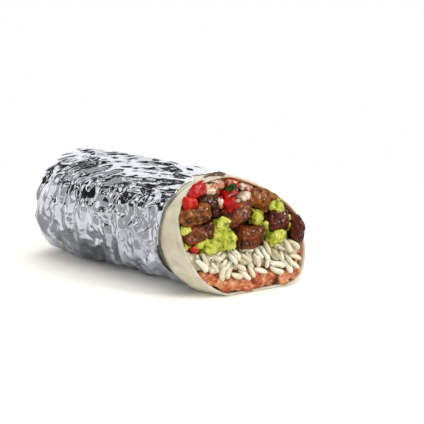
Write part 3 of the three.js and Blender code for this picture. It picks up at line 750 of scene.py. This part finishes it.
# The big creases, which are the CAD's own: cell, lift, stretch along the burrito, seed.
CREASES = ((15, 1.9, 0.5, 11), (7.5, 1.1, 0.75, 12))
CREASES_KEPT = 0.6
FOIL_SLACK = 1.1  # the foil bridges creases lower than this
# Folds in the foil, as waves of flat facets: their turn from lengthwise in degrees, length of the wave,
# height, the share of it that the steep side takes, and seed. Long ones lie on top of the burrito.
LONG_WAVES = (
    (4, 6.4, 1.7, 0.22, 41),
    (-9, 4.4, 0.6, 0.3, 42),
    (15, 8.8, 1.5, 0.22, 43),
)
CROSSED_WAVES = (
    (66, 11.0, 2.3, 0.3, 52),
    (104, 9.0, 1.3, 0.35, 53),
)
# And as pointed dents between sharp ridges: turn, size across, length as a multiple of that, depth, seed.
LONG_DENTS = ((0, 9.5, 3.0, 3.2, 45),)
CROSSED_DENTS = ((30, 12.0, 1.8, 5.0, 55), (60, 6.0, 2.0, 1.0, 56))
FOLD_PATCH = 10  # the size of the patches in which folds of one kind are deep
FOLD_WARP, WARP_ACROSS, WARP_ALONG = 2.6, (19, 31), (19, 32)  # how far folds wander; size and seed
WAVES_LOW, DENTS_LOW = 0.53, 0.5  # the heights are measured from these shares of their range
LONG_FROM, LONG_TO, LONG_UNEVEN = 46, 58, 3  # long folds take over between about these heights
TWIST, TWIST_FROM, TWIST_WITHIN = 0.5, 62, 14  # towards the tail the long folds wind round
CALM_FROM, CALM_TO, CALM = 112, 130, 0.35  # the foil is smoother near the tail
# How deep folds are at the foil's edge, and the share of the way to the tail where they are full.
EDGE_CREASED, FULLY_CREASED = 0.3, 0.12
HIGH_LIFT, PRESSED, LOWEST = 1.9, 0.6, 0.15  # folds are pressed down above a height, and stop above the wrap
LIP_ROWS = (0.0, 0.01, 0.02, 0.035)
# Where the foil stands off the tortilla, low on the near side, where its edge dips back, on top, and where
# it is set back beside that.
LOOSE_AT, LOOSE_HALF, LOOSE_LIFT, LOOSE_TO = radians(208), radians(34), 1.5, 0.05
DIP, DIP_FROM, DIP_TO, DIP_SIDES = 6.5, radians(70), radians(110), radians(7)
SHOULDER, SHOULDER_AT, SHOULDER_HALF = 3.0, radians(123), radians(19)
RAGGED_DEPTH, RAGGED_PER_RADIAN, RAGGED_SIZE = 1.1, 9, 2.2
PLEATS, PLEAT_LIFT, PLEAT_HUB, PLEAT_FROM, PLEAT_TO = 13, 0.7, 0.6, 0.93, 0.985
# The shadow painted on the foil beside the cuff, low on the near side: its width, middle, half and soft edge.
GAP_SHADE, GAP_AT, GAP_HALF, GAP_SOFT = 3.0, radians(219), radians(26), (-0.4, 0.3)
BELOW_TABLE = -9  # lower than the body reaches, so that the foil's underside stays round at first


def creases_at(points):
    return sum(lift * crease(points * (stretch, 1, 1), cell, seed) for cell, lift, stretch, seed in CREASES)


def distance_round(around, inset):
    """How far round the burrito each angle is from its top, with the far side positive."""
    ring = body_point(around, np.full(len(around), LENGTH / 3), inset, BELOW_TABLE)
    steps = np.linalg.norm(np.roll(ring, -1, 0) - ring, axis=1)
    below = np.searchsorted(around, 1.5 * pi)  # where the distances start and end
    total = np.roll(np.cumsum(np.roll(steps, -below)), below)
    return total[np.searchsorted(around, pi / 2)] - total


def in_patches(points, seed):
    """How strong one kind of fold is, from place to place."""
    return 0.3 + 0.7 * smoothstep(lumps(points * (0.7, 1.1, 1.1), FOLD_PATCH, seed), -0.35, 0.45)


def turned(across, along, turn):
    """Places in the unrolled sheet, seen from axes that are turned by `turn` degrees."""
    sine, cosine = sin(radians(turn)), cos(radians(turn))
    return across * cosine + along * sine, along * cosine - across * sine


def waves(points, across, along, kinds):
    """The heights of waves of folds, `across` and `along` being places in the unrolled sheet."""
    total = 0
    for turn, length, height, steep, seed in kinds:
        place = turned(across, along, turn)[0] / length
        part = place - np.floor(place)
        wave = np.minimum((1 - part) / (1 - steep), part / steep)
        total = total + height * in_patches(points, seed) * (wave - WAVES_LOW)
    return total


def dents(points, across, along, kinds):
    """The heights of pointed dents, each turned its own way, with sharp ridges where they meet."""
    total = 0
    for turn, size, longer, depth, seed in kinds:
        over, down = turned(across, along, turn)
        at = np.stack([over, down / longer], -1) / size
        corner = np.floor(at).astype(np.int64)
        away = np.full(len(at), np.inf)
        for offset in product((-1, 0, 1), repeat=2):
            cell = corner + offset
            x, y = cell.T
            *spot, its_turn = (hashed(x, y, 0 * x + which, seed) for which in range(3))
            a, b = (at - cell - np.stack(spot, -1)).T
            cosine, sine = np.cos(its_turn * pi), np.sin(its_turn * pi)
            away = np.minimum(away, np.abs(a * cosine + b * sine) + np.abs(b * cosine - a * sine))
        total = total + depth * in_patches(points, seed) * (away - DENTS_LOW)
    return total


def humped(around, middle, half):
    """A rounded hump between two angles, 1 high at its middle."""
    return np.maximum(0, 1 - ((around - middle) / half) ** 2)


def make_foil():
    around = angles(FOIL_AROUND)
    around = around + FOIL_CROWDED * np.sin(around)
    ring_at = np.stack([RAGGED_PER_RADIAN * around, 0 * around, 0 * around], -1)
    ragged = RAGGED_DEPTH + lumps(ring_at, RAGGED_SIZE, 21)
    inset = CUFF - UNDER_FOIL
    dip = between(around, DIP_FROM, DIP_TO, DIP_SIDES)
    edge = foil_edge(around) + ragged + DIP * dip + SHOULDER * humped(around, SHOULDER_AT, SHOULDER_HALF)
    across = distance_round(around, inset)
    # How wide the painted shadow beside the cuff is, round the burrito.
    painted_gap_shadow = GAP_SHADE * humped(around, GAP_AT, GAP_HALF) ** 0.5
    gap_from, gap_to = (painted_gap_shadow + soft for soft in GAP_SOFT)

    def loosened(share):
        return LOOSE_LIFT * humped(around, LOOSE_AT, LOOSE_HALF) * (1 - smoothstep(share, 0, LOOSE_TO))

    rings, on_top, shaded = [], [], []
    for share in FOIL_ROWS:
        station = wrapped_station(edge, share, inset)
        folded = smoothstep(share, PLEAT_FROM, PLEAT_TO)
        smooth = body_point(around, station, inset, BELOW_TABLE)
        own = smooth - ORIGIN
        fullness = EDGE_CREASED + (1 - EDGE_CREASED) * min(1, share / FULLY_CREASED)
        calmed = 1 - (1 - CALM) * smoothstep(station, CALM_FROM, CALM_TO)
        main = fullness * calmed * CREASES_KEPT * np.maximum(0, creases_at(own) - FOIL_SLACK)
        past = station - TWIST_FROM
        twist = TWIST * (np.hypot(past, TWIST_WITHIN) + past) / 2
        u, w = across + FOLD_WARP * lumps(own, *WARP_ACROSS), station + FOLD_WARP * lumps(own, *WARP_ALONG)
        long = smoothstep(smooth[:, 2] + LONG_UNEVEN * lumps(own, 12, 33), LONG_FROM, LONG_TO)
        on_top_of = waves(own, u + twist, w, LONG_WAVES) + dents(own, u + twist, w, LONG_DENTS)
        below = waves(own, u, w, CROSSED_WAVES) + dents(own, u, w, CROSSED_DENTS)
        fine = (long * on_top_of + (1 - long) * below) * fullness * calmed
        pleat = folded * PLEAT_LIFT * (1 + np.cos(PLEATS * around))
        lift = np.maximum(main + fine + pleat, LOWEST - FOIL_SHEET)
        lift = lift - PRESSED * np.maximum(0, lift - HIGH_LIFT)
        lift = lift + loosened(share)
        rings.append(body_point(around, station + folded * (main + pleat), inset - lift, 0))
        on_top.append(long)
        # The painted shadow, full at the foil's edge and fading behind it.
        shaded.append((painted_gap_shadow > 0) * (1 - smoothstep(station - edge, gap_from, gap_to) if share > 0 else 1))
    hold = CUFF - GAP
    inner = [wrapped_ring(around, s, hold, FOIL_SHEET) for s in WRAPPED_ROWS]
    for share in LIP_ROWS[::-1]:
        station = wrapped_station(edge, share, inset)
        inner.insert(0, body_point(around, station, hold - loosened(share), FOIL_SHEET))
    rings += [tail_point(inset - PLEAT_HUB, 0), tail_point(hold, FOIL_SHEET), *inner[::-1]]
    piece = make_object("foil_sheet", *loft(rings, join_ends=True))
    hidden = np.zeros(len(piece.data.vertices) - len(around) * len(FOIL_ROWS))
    store(piece.data, "on_top", np.concatenate([*on_top, hidden]))
    store(piece.data, "painted_gap_shadow", np.concatenate([*shaded, hidden]))
    dress(piece, FOIL, "foil", "foil_wrap")


make_foil()

# ---- fillings


def relief_of(*lumpy, crumbly=(), raised=0.0):
    """A relief from its lumps and its crumbs, each given as (height, size, seed)."""

    def relief(points):
        high = sum(height * lumps(points, size, seed) for height, size, seed in lumpy)
        low = sum(height * (crumbs(points, size, seed) - 0.5) for height, size, seed in crumbly)
        return raised + high - low

    return relief


BEAN_CRUMBS = ((2.6, 5.2, 94), (0.9, 2.5, 112))
MASH = relief_of((1.2, 5.6, 91), (0.8, 2.6, 92), (0.3, 1.2, 93), crumbly=BEAN_CRUMBS)
AVOCADO_CRUMBS = ((1.5, 3.2, 98), (0.8, 1.7, 109))
PULP = relief_of((1.1, 4.6, 95), (0.8, 2.4, 96), (0.25, 1.1, 97), crumbly=AVOCADO_CRUMBS)
DICE = relief_of((0.5, 3.2, 102), (0.2, 1.4, 103), raised=0.35)
SMOOTH_DICE = relief_of((0.3, 4.2, 102), raised=0.2)
SAUCE = relief_of((0.9, 3, 104), (0.4, 1.5, 105))
WRINKLES = relief_of((0.05, 0.8, 106))
PACKED_RICE = relief_of((0.4, 2.4, 107))


def steak_relief(points, turn=0):
    """Torn lumps with fibres that run one way, which `turn` sets."""
    along = points @ np.array(Euler((1.3 * turn, 0.7 * turn, 2.1 * turn)).to_matrix()).T
    fibres = 0.5 * ridged(along * (1, 0.45, 1), 2.2, 99) + 0.4 * lumps(along * (1, 0.6, 1), 1.3, 110) - 0.1
    torn = 0.55 - crumbs(points, 3.4, 108)
    grains = 0.7 * (0.55 - crumbs(points, 1.7, 111))
    return 1.2 * lumps(points, 5.5, 100) + fibres + 0.8 * torn + grains


# The cubes and dice by number, with their materials.
STEAKS = (BROWN_STEAK, DEEP_STEAK, *[DARK_STEAK] * 3, BROWN_STEAK, *[GLOSSY_STEAK] * 2)
TOMATOES = (RED_TOMATO, PINK_TOMATO, *[RED_TOMATO] * 2, *[PINK_TOMATO] * 3)
DEEP_CUT = 20  # how far behind the cut the layers behind the cubes are made fine

for i, its_material in enumerate(STEAKS, 1):
    cube = chunk(f"steak_{i}", f"steak_cube_{i}", 0.42, lambda points: steak_relief(points, i), 40, 1.5)
    dress(cube, its_material, "steak", f"steak_{i}")
for i, its_material in enumerate(TOMATOES, 1):
    dice = chunk(f"tomato_{i}", f"tomato_dice_{i}", 0.35, DICE, 12, 0.9)
    dress(dice, its_material, "tomato", f"tomato_{i}")
for i in range(1, 6):
    dress(chunk(f"onion_{i}", f"onion_dice_{i}", 0.3, SMOOTH_DICE, 6, 0.9), ONION, "onion", f"onion_{i}")
dress(chunk("guacamole_dab", "guacamole_smear", 0.34, PULP), GUACAMOLE, "guacamole", "guacamole_dab")
dress(chunk("cilantro_leaf", "leaf", 0.14, WRINKLES), LEAF, "leaf", "cilantro_leaf")
dress(layer("guacamole", "guacamole_mass", 0.34, PULP), GUACAMOLE, "guacamole", "guacamole")
dress(layer("refried_beans", "bean_mash", 0.42, MASH), BEANS, "beans", "refried_beans")
dress(layer("steak_layer", "steak_filling", 0.7, steak_relief, DEEP_CUT), DARK_STEAK, "steak", "steak_layer")
dress(layer("salsa_layer", "salsa_filling", 0.6, SAUCE, DEEP_CUT), SALSA, "salsa", "salsa_layer")

# ---- rice
GRAIN_LENGTH, GRAIN_WIDTH, GRAIN_THICKNESS = 8.4, 3.1, 2.6
GRAIN_RINGS, GRAIN_SIDES = 13, 10
GRAIN_BEND, GRAIN_BLUNT, GRAIN_SLIMMER, GRAIN_WAVE = 0.8, 4, 0.3, 0.1
AXIS_SAMPLES = np.linspace(-0.42, 0.42, 5)
RICE_LAYERS = (  # how far out of the cut, from and to, and how close two grains may lie
    (0.9, 2.6, 2.3),
    (-0.5, 1.0, 2.0),
    (-2.0, -0.4, 1.7),
    (-3.2, -1.6, 1.4),
)
RICE_FROM, RICE_TO = -35, 32.5
TRIES = 2200  # in each layer
GRAIN_TURNS, FIRST_TURN = ((-38, 24), (30, 60)), 0.6  # middle and spread, in degrees; share of the first
GRAIN_TIPS = (-28, 22)  # how far they tip in and out of the cut
GRAIN_SIZES = (0.88, 1.08)
CLEAR_OF_RIM, CLEAR_OF_FIRM, INTO_SOFT = 1.2, 0.5, 0.8
RICE_SPILL, SPILL_TO = 2.5, 24  # how far the outermost grains hang over the beans, and up to where
RICE_CORE_BEHIND, CORE_TINT = 2.4, 0.3


def beans_top(y):
    """The height where the rice starts at the cut, which climbs on the right."""
    climb = 9.5 * smoothstep(y, 27, 34)
    return 12.8 - 0.08 * y + 0.7 * np.sin(y / 4.5) + climb


def rice_top(y):
    """The height where the rice ends."""
    return 23.6 + 0.5 * np.sin(y / 6 + 1) + 3.6 * smoothstep(-y, 18, 32)


def surface_tree(*nodes):
    """A search tree over the nodes' surfaces."""
    meshes = [frame["nodes"][node].data for node in nodes]
    shapes = [(points_of(mesh), [list(face.vertices) for face in mesh.polygons]) for mesh in meshes]
    points, faces = gathered(shapes)
    return BVHTree.FromPolygons(points.tolist(), faces)


def clearance(tree, points):
    """The least that any of the points lies outside the surface by; less than 0 inside it."""
    found = [(Vector(point), *tree.find_nearest(Vector(point))) for point in points]
    return min(copysign(away, (point - spot).dot(normal)) for point, spot, normal, _, away in found)


def inside(points):
    """How far points near the cut lie inside the tortilla's inner face."""
    up = points[:, 2] - ORIGIN[2] - MIDDLE_HEIGHT
    across = points[:, 1] - ORIGIN[1] - RIDGE_LEAN * up
    return section_radius(np.arctan2(up, across)) - CUFF - WALL - np.hypot(up, across)


def make_grain(rng):
    """One cooked grain along its own z axis, a little bent."""
    t = np.sin(np.linspace(-0.5, 0.5, GRAIN_RINGS) * pi)[1:-1]
    turn = angles(GRAIN_SIDES)
    bend = rng.uniform(-GRAIN_BEND, GRAIN_BEND)
    width = GRAIN_WIDTH / 2 * (1 - np.abs(t) ** GRAIN_BLUNT) ** 0.5 * (1 - rng.uniform(0, GRAIN_SLIMMER) * t)
    width = width * (1 + GRAIN_WAVE * np.sin(rng.uniform(2, 4) * t + rng.uniform(0, 6)))
    thick = GRAIN_THICKNESS / GRAIN_WIDTH
    rings = [np.array([[bend, 0, -GRAIN_LENGTH / 2]])]
    for share, radius in zip(t, width):
        x = radius * np.cos(turn) + bend * share**2
        y = thick * radius * np.sin(turn)
        rings.append(np.stack([x, y, np.full(GRAIN_SIDES, share * GRAIN_LENGTH / 2)], -1))
    rings.append(np.array([[bend, 0, GRAIN_LENGTH / 2]]))
    return loft(rings)


def grain_axes(turn, tip, roll):
    """Columns: the grain's own axes in the face's across, up and out."""
    direction = np.array([sin(turn) * cos(tip), cos(turn) * cos(tip), sin(tip)])
    side = np.cross(direction, (0, 0, 1))
    side /= np.linalg.norm(side)
    normal = np.cross(direction, side)
    rolled = cos(roll) * side + sin(roll) * normal
    return FACE @ np.stack([rolled, np.cross(direction, rolled), direction], -1)


def place_grains(rng):
    cubes = [f"steak_{i}" for i in range(1, len(STEAKS) + 1)]
    firm = surface_tree("refried_beans", "tortilla", *cubes, "tomato_7")
    soft = surface_tree("guacamole")
    placed, samples = [], np.empty((0, len(AXIS_SAMPLES), 3))
    for nearest_out, furthest_out, apart in RICE_LAYERS:
        for _ in range(TRIES):
            u = rng.uniform(RICE_FROM, RICE_TO)
            y = u * ACROSS[1]
            spilled = RICE_SPILL if nearest_out > 0 and y < SPILL_TO else 0
            v = rng.uniform(beans_top(y) - spilled, rice_top(y) + 0.5) / UP[2]
            n = rng.uniform(nearest_out, furthest_out)
            turn = radians(rng.normal(*GRAIN_TURNS[rng.random() >= FIRST_TURN]))
            tip = radians(rng.uniform(*GRAIN_TIPS))
            axes = grain_axes(turn, tip, rng.uniform(0, pi))
            middle = face_point(u, v, n)
            axis = middle + np.multiply.outer(AXIS_SAMPLES * GRAIN_LENGTH, axes[:, 2])
            gaps = np.linalg.norm(samples[:, :, None] - axis, axis=-1)
            free = gaps.min(initial=np.inf) >= apart and inside(axis).min() >= CLEAR_OF_RIM
            if free and clearance(firm, axis) >= CLEAR_OF_FIRM and clearance(soft, axis) >= -INTO_SOFT:
                placed.append((middle, axes))
                samples = np.concatenate([samples, axis[None]])
    return placed


def make_rice():
    rng = np.random.default_rng(31)
    shapes, tints = [], []
    for middle, axes in place_grains(rng):
        points, faces = make_grain(rng)
        size = rng.uniform(*GRAIN_SIZES)
        shapes.append((middle + size * points @ axes.T, faces))
        tints.append(np.full(len(points), rng.uniform(0, 1)))
    grains = make_object("rice_grains", *gathered(shapes))
    store(grains.data, "tint", np.concatenate(tints))
    core = layer("rice", "rice_core", 0.6, PACKED_RICE, kept_from=RICE_CORE_BEHIND)
    store(core.data, "tint", np.full(len(core.data.vertices), CORE_TINT))
    dress(core, RICE, "rice", "rice")
    dress(grains, RICE, "rice", "rice")


make_rice()

# ---- scraps
SCRAP_RINGS, SCRAP_SIDES = 9, 12
SCRAP_FROM, SCRAP_DEEPEST = 12, -9  # how far out of the cut they are dropped from, and may end
SCRAP_TILT = radians(25)
SCRAP_WIDTHS, SCRAP_UNEVEN = (0.55, 0.9), 0.09  # shares of the length
SCRAP_UP, SCRAP_CLEAR = 0.1, 0.1  # share of the thickness that it stands up by; clear of the tortilla by


def rim_field(rng, first, last, nearest_rim, furthest_rim):
    """A place on the cut face between two angles and two distances from its outline."""
    angle = radians(rng.uniform(first, last))
    radius = section_radius(angle) - rng.uniform(nearest_rim, furthest_rim)
    across = radius * (cos(angle) + RIDGE_LEAN * sin(angle))
    return across / ACROSS[1], (MIDDLE_HEIGHT + radius * sin(angle)) / UP[2]


def box_field(rng, left, right, low, high):
    return rng.uniform(left, right), rng.uniform(low, high)


TOP_BAND = (rim_field, 28, 118, 4.2, 9)
RIGHT_GAP = (rim_field, -8, 34, 3.8, 7)
SALSA_AREA = (box_field, -25, 7, 47, 62)
LOW_LEFT = (box_field, -33, -27, 29.5, 34)
RICE_AREA = (box_field, -33, 34, 17, 28)
RIM_TOP = (rim_field, 70, 124, 4.0, 5.5)
BESIDE_STEAK = (box_field, 17, 22.5, 43, 49)
SALSA_FIELDS = (TOP_BAND, RIM_TOP, TOP_BAND, SALSA_AREA, RIGHT_GAP)
GREEN_FIELDS = (BESIDE_STEAK, BESIDE_STEAK, LOW_LEFT)
HERB_FIELDS = (TOP_BAND, SALSA_AREA, SALSA_AREA, RICE_AREA)
# How many, shortest and longest, thickness as a share of that, squareness, how far out of the cut what
# they lie on may stand, material, slot, fields.
SCRAPS = {
    "salsa_scraps": (170, 2.4, 5.2, 0.26, 2.3, 0.2, SALSA, "salsa", SALSA_FIELDS),
    "tomato_scraps": (34, 2.0, 4.6, 0.5, 3, 0.3, RED_TOMATO, "tomato", (TOP_BAND, SALSA_AREA)),
    "onion_scraps": (14, 2.2, 4.2, 0.35, 3, 0.6, ONION, "onion", (TOP_BAND, RIM_TOP, SALSA_AREA)),
    "steak_crumbs": (18, 1.6, 4.0, 0.8, 2.3, 0.8, DARK_STEAK, "steak", (SALSA_AREA, RIGHT_GAP, LOW_LEFT)),
    "guacamole_scraps": (12, 3.6, 6.0, 0.6, 2.3, 4, GUACAMOLE, "guacamole", GREEN_FIELDS),
    "herb_flecks": (40, 0.8, 1.6, 0.3, 2.5, 9, LEAF, "leaf", HERB_FIELDS),
}


def make_scrap(rng, length, thickness, squareness):
    """A small lump with rounded corners, lying flat in the face's across and up."""
    t = np.sin(np.linspace(-0.5, 0.5, SCRAP_RINGS) * pi)
    turn = angles(SCRAP_SIDES)
    box = (np.abs(np.cos(turn)) ** squareness + np.abs(np.sin(turn)) ** squareness) ** (-1 / squareness)
    rings = [np.array([[0, 0, -1.0]])]
    for share in t[1:-1]:
        radius = (1 - abs(share) ** squareness) ** (1 / squareness) * box
        rings.append(np.stack([radius * np.cos(turn), radius * np.sin(turn), 0 * turn + share], -1))
    rings.append(np.array([[0, 0, 1.0]]))
    points, faces = loft(rings)
    points = points * (1, rng.uniform(*SCRAP_WIDTHS), thickness) * length / 2
    uneven = np.stack([lumps(points + rng.uniform(0, 99), 1.3, seed) for seed in (71, 72, 73)], -1)
    points = points + SCRAP_UNEVEN * length * uneven
    tilted = Euler((*rng.uniform(-SCRAP_TILT, SCRAP_TILT, 2), rng.uniform(0, tau))).to_matrix()
    return points @ np.array(tilted).T, faces


def make_scraps():
    graph = bpy.context.evaluated_depsgraph_get()
    food = [p for p in scene.objects if p.get(SHOWS) and p.active_material not in (TORTILLA, FOIL)]
    trees = [BVHTree.FromObject(piece, graph) for piece in food]
    rng = np.random.default_rng(53)
    for name, row in SCRAPS.items():
        count, shortest, longest, thickness, squareness, highest, its_material, slot, fields = row
        shapes = []
        for number in range(count):
            field, *limits = fields[number % len(fields)]
            u, v = field(rng, *limits)
            length = rng.uniform(shortest, longest)
            points, faces = make_scrap(rng, length, thickness, squareness)
            start = face_point(u, v, SCRAP_FROM)
            hits = [tree.ray_cast(Vector(start * MM), Vector(-OUT)) for tree in trees]
            depths = [hit[3] / MM for hit in hits if hit[0]]
            if not depths or not SCRAP_DEEPEST <= SCRAP_FROM - min(depths) <= highest:
                continue
            middle = start - (min(depths) - SCRAP_UP * length * thickness) * OUT
            points = middle + points @ FACE.T
            if inside(points).min() > SCRAP_CLEAR:
                shapes.append((points, faces))
        points, faces = gathered(shapes)
        piece = make_object(name, points, faces)
        store(piece.data, "relief", 0.6 + 0.4 * lumps(points, 1.5, 74))
        dress(piece, its_material, slot)


make_scraps()

# ---- floor, light and camera
FLOOR_HALF = 280  # beyond it the studio's white shows, which is as bright
STUDIO_GREYS = ((0.44, 0.02), (0.495, 0.08), (0.515, 0.3), (0.55, 0.95))
PATCHES_AT, PATCHES_SCALE = (0.6, -3.3, 4.2), 1.9
FLOOR_EVEN, EVEN_GREY = 0.55, (0.5, 0.5, 0.5, 1)  # mirrored, the floor's greys are this near to one grey
PATH = {"seen": 0, "mirrored": 3}  # outputs of the light path node


def make_floor():
    corners = np.array([[-1, -1, 0], [1, -1, 0], [1, 1, 0], [-1, 1, 0]]) * FLOOR_HALF
    floor = make_object("floor", corners, [[0, 1, 2, 3]])
    floor.data.materials.append(material("floor", floor_surface))


def studio_greys(tree, direction):
    """The unlit front of the studio, with bright and dark patches that shiny things mirror."""
    moved = add(tree, "VectorMath", {0: direction, 1: PATCHES_AT}, operation="ADD")
    patches = add(tree, "TexNoise", {"Vector": moved, "Scale": PATCHES_SCALE, "Detail": 1, "Roughness": 0.4})
    return ramp(tree, patches, [(place, (grey, grey, 1.02 * grey, 1)) for place, grey in STUDIO_GREYS])


def floor_surface(tree):
    """Pale paper, which shiny things mirror as part of the studio's unlit front."""
    paper = mix(tree, noise(tree, 3, 2), srgb(250, 247, 239), srgb(252, 250, 244))
    middle = (0, 0, MIDDLE_HEIGHT * MM)
    below = add(tree, "VectorMath", {0: add(tree, "TexCoord", output=3), 1: middle}, operation="SUBTRACT")
    direction = add(tree, "VectorMath", {0: below}, operation="NORMALIZE")
    mirrored = add(tree, "LightPath", output=PATH["mirrored"])
    greys = mix(tree, FLOOR_EVEN, studio_greys(tree, direction), EVEN_GREY)
    return {"Base Color": mix(tree, mirrored, paper, greys), "Roughness": 0.9}


def aimed(name, data, place, toward):
    """A light or a camera at a place, pointing toward another."""
    piece = in_scene(name, data)
    piece.location = Vector(place) * MM
    piece.rotation_euler = (Vector(toward) - Vector(place)).to_track_quat("-Z", "Y").to_euler()
    return piece


def make_light(name, place, toward, size, watts, mirrored=True, lights_up=True):
    data = bpy.data.lights.new(name, "AREA")
    data.shape = "RECTANGLE"
    data.size, data.size_y = (s * MM for s in size)
    data.energy = watts
    light = aimed(name, data, place, toward)
    light.visible_glossy = mirrored
    light.visible_diffuse = lights_up


AMBIENT = 0.83
# Small lights that only glint.
SPARKS = ((900, 100, 420), (800, 420, 520), (950, -150, 250), (850, 200, 150))
# Parts of the studio: their directions, how nearly a direction agrees with that where they start and
# where they are full, and their shades. The ceiling's numbers are heights.
WHITE_WALL, WALL_AT = (-0.5, 0.86, 0), (0.0, 0.3)
CEILING_AT, WHITE = (0.86, 0.95), (1.12, 1.12, 1.12, 1)
UNLIT, UNLIT_AT, BLACK = (-0.62, -0.33, 0.71), (0.9, 0.97), (0.03, 0.03, 0.032, 1)


def make_world():
    """A studio: a white wall behind, a white ceiling, grey in front and a dark corner over the left."""
    world = bpy.data.worlds.new("studio")
    world.use_nodes = True
    tree = world.node_tree
    tree.nodes.clear()
    direction = add(tree, "TexCoord", output=0)
    uneven = add(tree, "TexNoise", {"Vector": direction, "Scale": 3.5, "Detail": 3, "Roughness": 0.6})
    height = add(tree, "SeparateXYZ", {0: direction}, 2)

    def facing(place, low, high):
        share = add(tree, "VectorMath", {0: direction, 1: place}, 1, operation="DOT_PRODUCT")
        wandering = math_node(tree, "ADD", share, step(tree, uneven, 0.3, 0.7, -0.12, 0.12))
        return step(tree, wandering, low, high)

    bright = math_node(tree, "MAXIMUM", facing(WHITE_WALL, *WALL_AT), step(tree, height, *CEILING_AT))
    shade = mix(tree, bright, studio_greys(tree, direction), WHITE)
    shade = mix(tree, facing(UNLIT, *UNLIT_AT), shade, BLACK)
    seen, mirrored = (add(tree, "LightPath", output=PATH[name]) for name in ("seen", "mirrored"))
    soft = add(tree, "Background", {0: (1, 1, 1, 1), 1: step(tree, seen, 0, 1, AMBIENT, 1.0)})
    studio = add(tree, "Background", {0: shade, 1: 1.0})
    surface = add(tree, "MixShader", {0: mirrored, 1: soft, 2: studio})
    add(tree, "OutputWorld", {"Surface": surface})
    scene.world = world


CAMERA_AT = (476.52, -496.17, 213.26)
CAMERA_AIM = (41.90, -0.54, 40.67)
CAMERA_FIELD = radians(19.149)


def make_camera():
    data = bpy.data.cameras.new("camera")
    data.lens = data.sensor_width / 2 / tan(CAMERA_FIELD / 2)
    data.clip_start, data.clip_end = 0.01, 20
    scene.camera = aimed("camera", data, CAMERA_AT, CAMERA_AIM)


make_floor()
make_light("key", (500, -300, 3000), (20, 0, 30), (1900, 1600), 40, mirrored=False)
make_light("front", (800, 150, 600), (60, 0, 30), (130, 130), 2.6)
for number, place in enumerate(SPARKS):
    make_light(f"spark_{number}", place, (60, 0, 30), (90, 90), 2.4, lights_up=False)
make_world()
make_camera()
scene.view_settings.view_transform = "Standard"
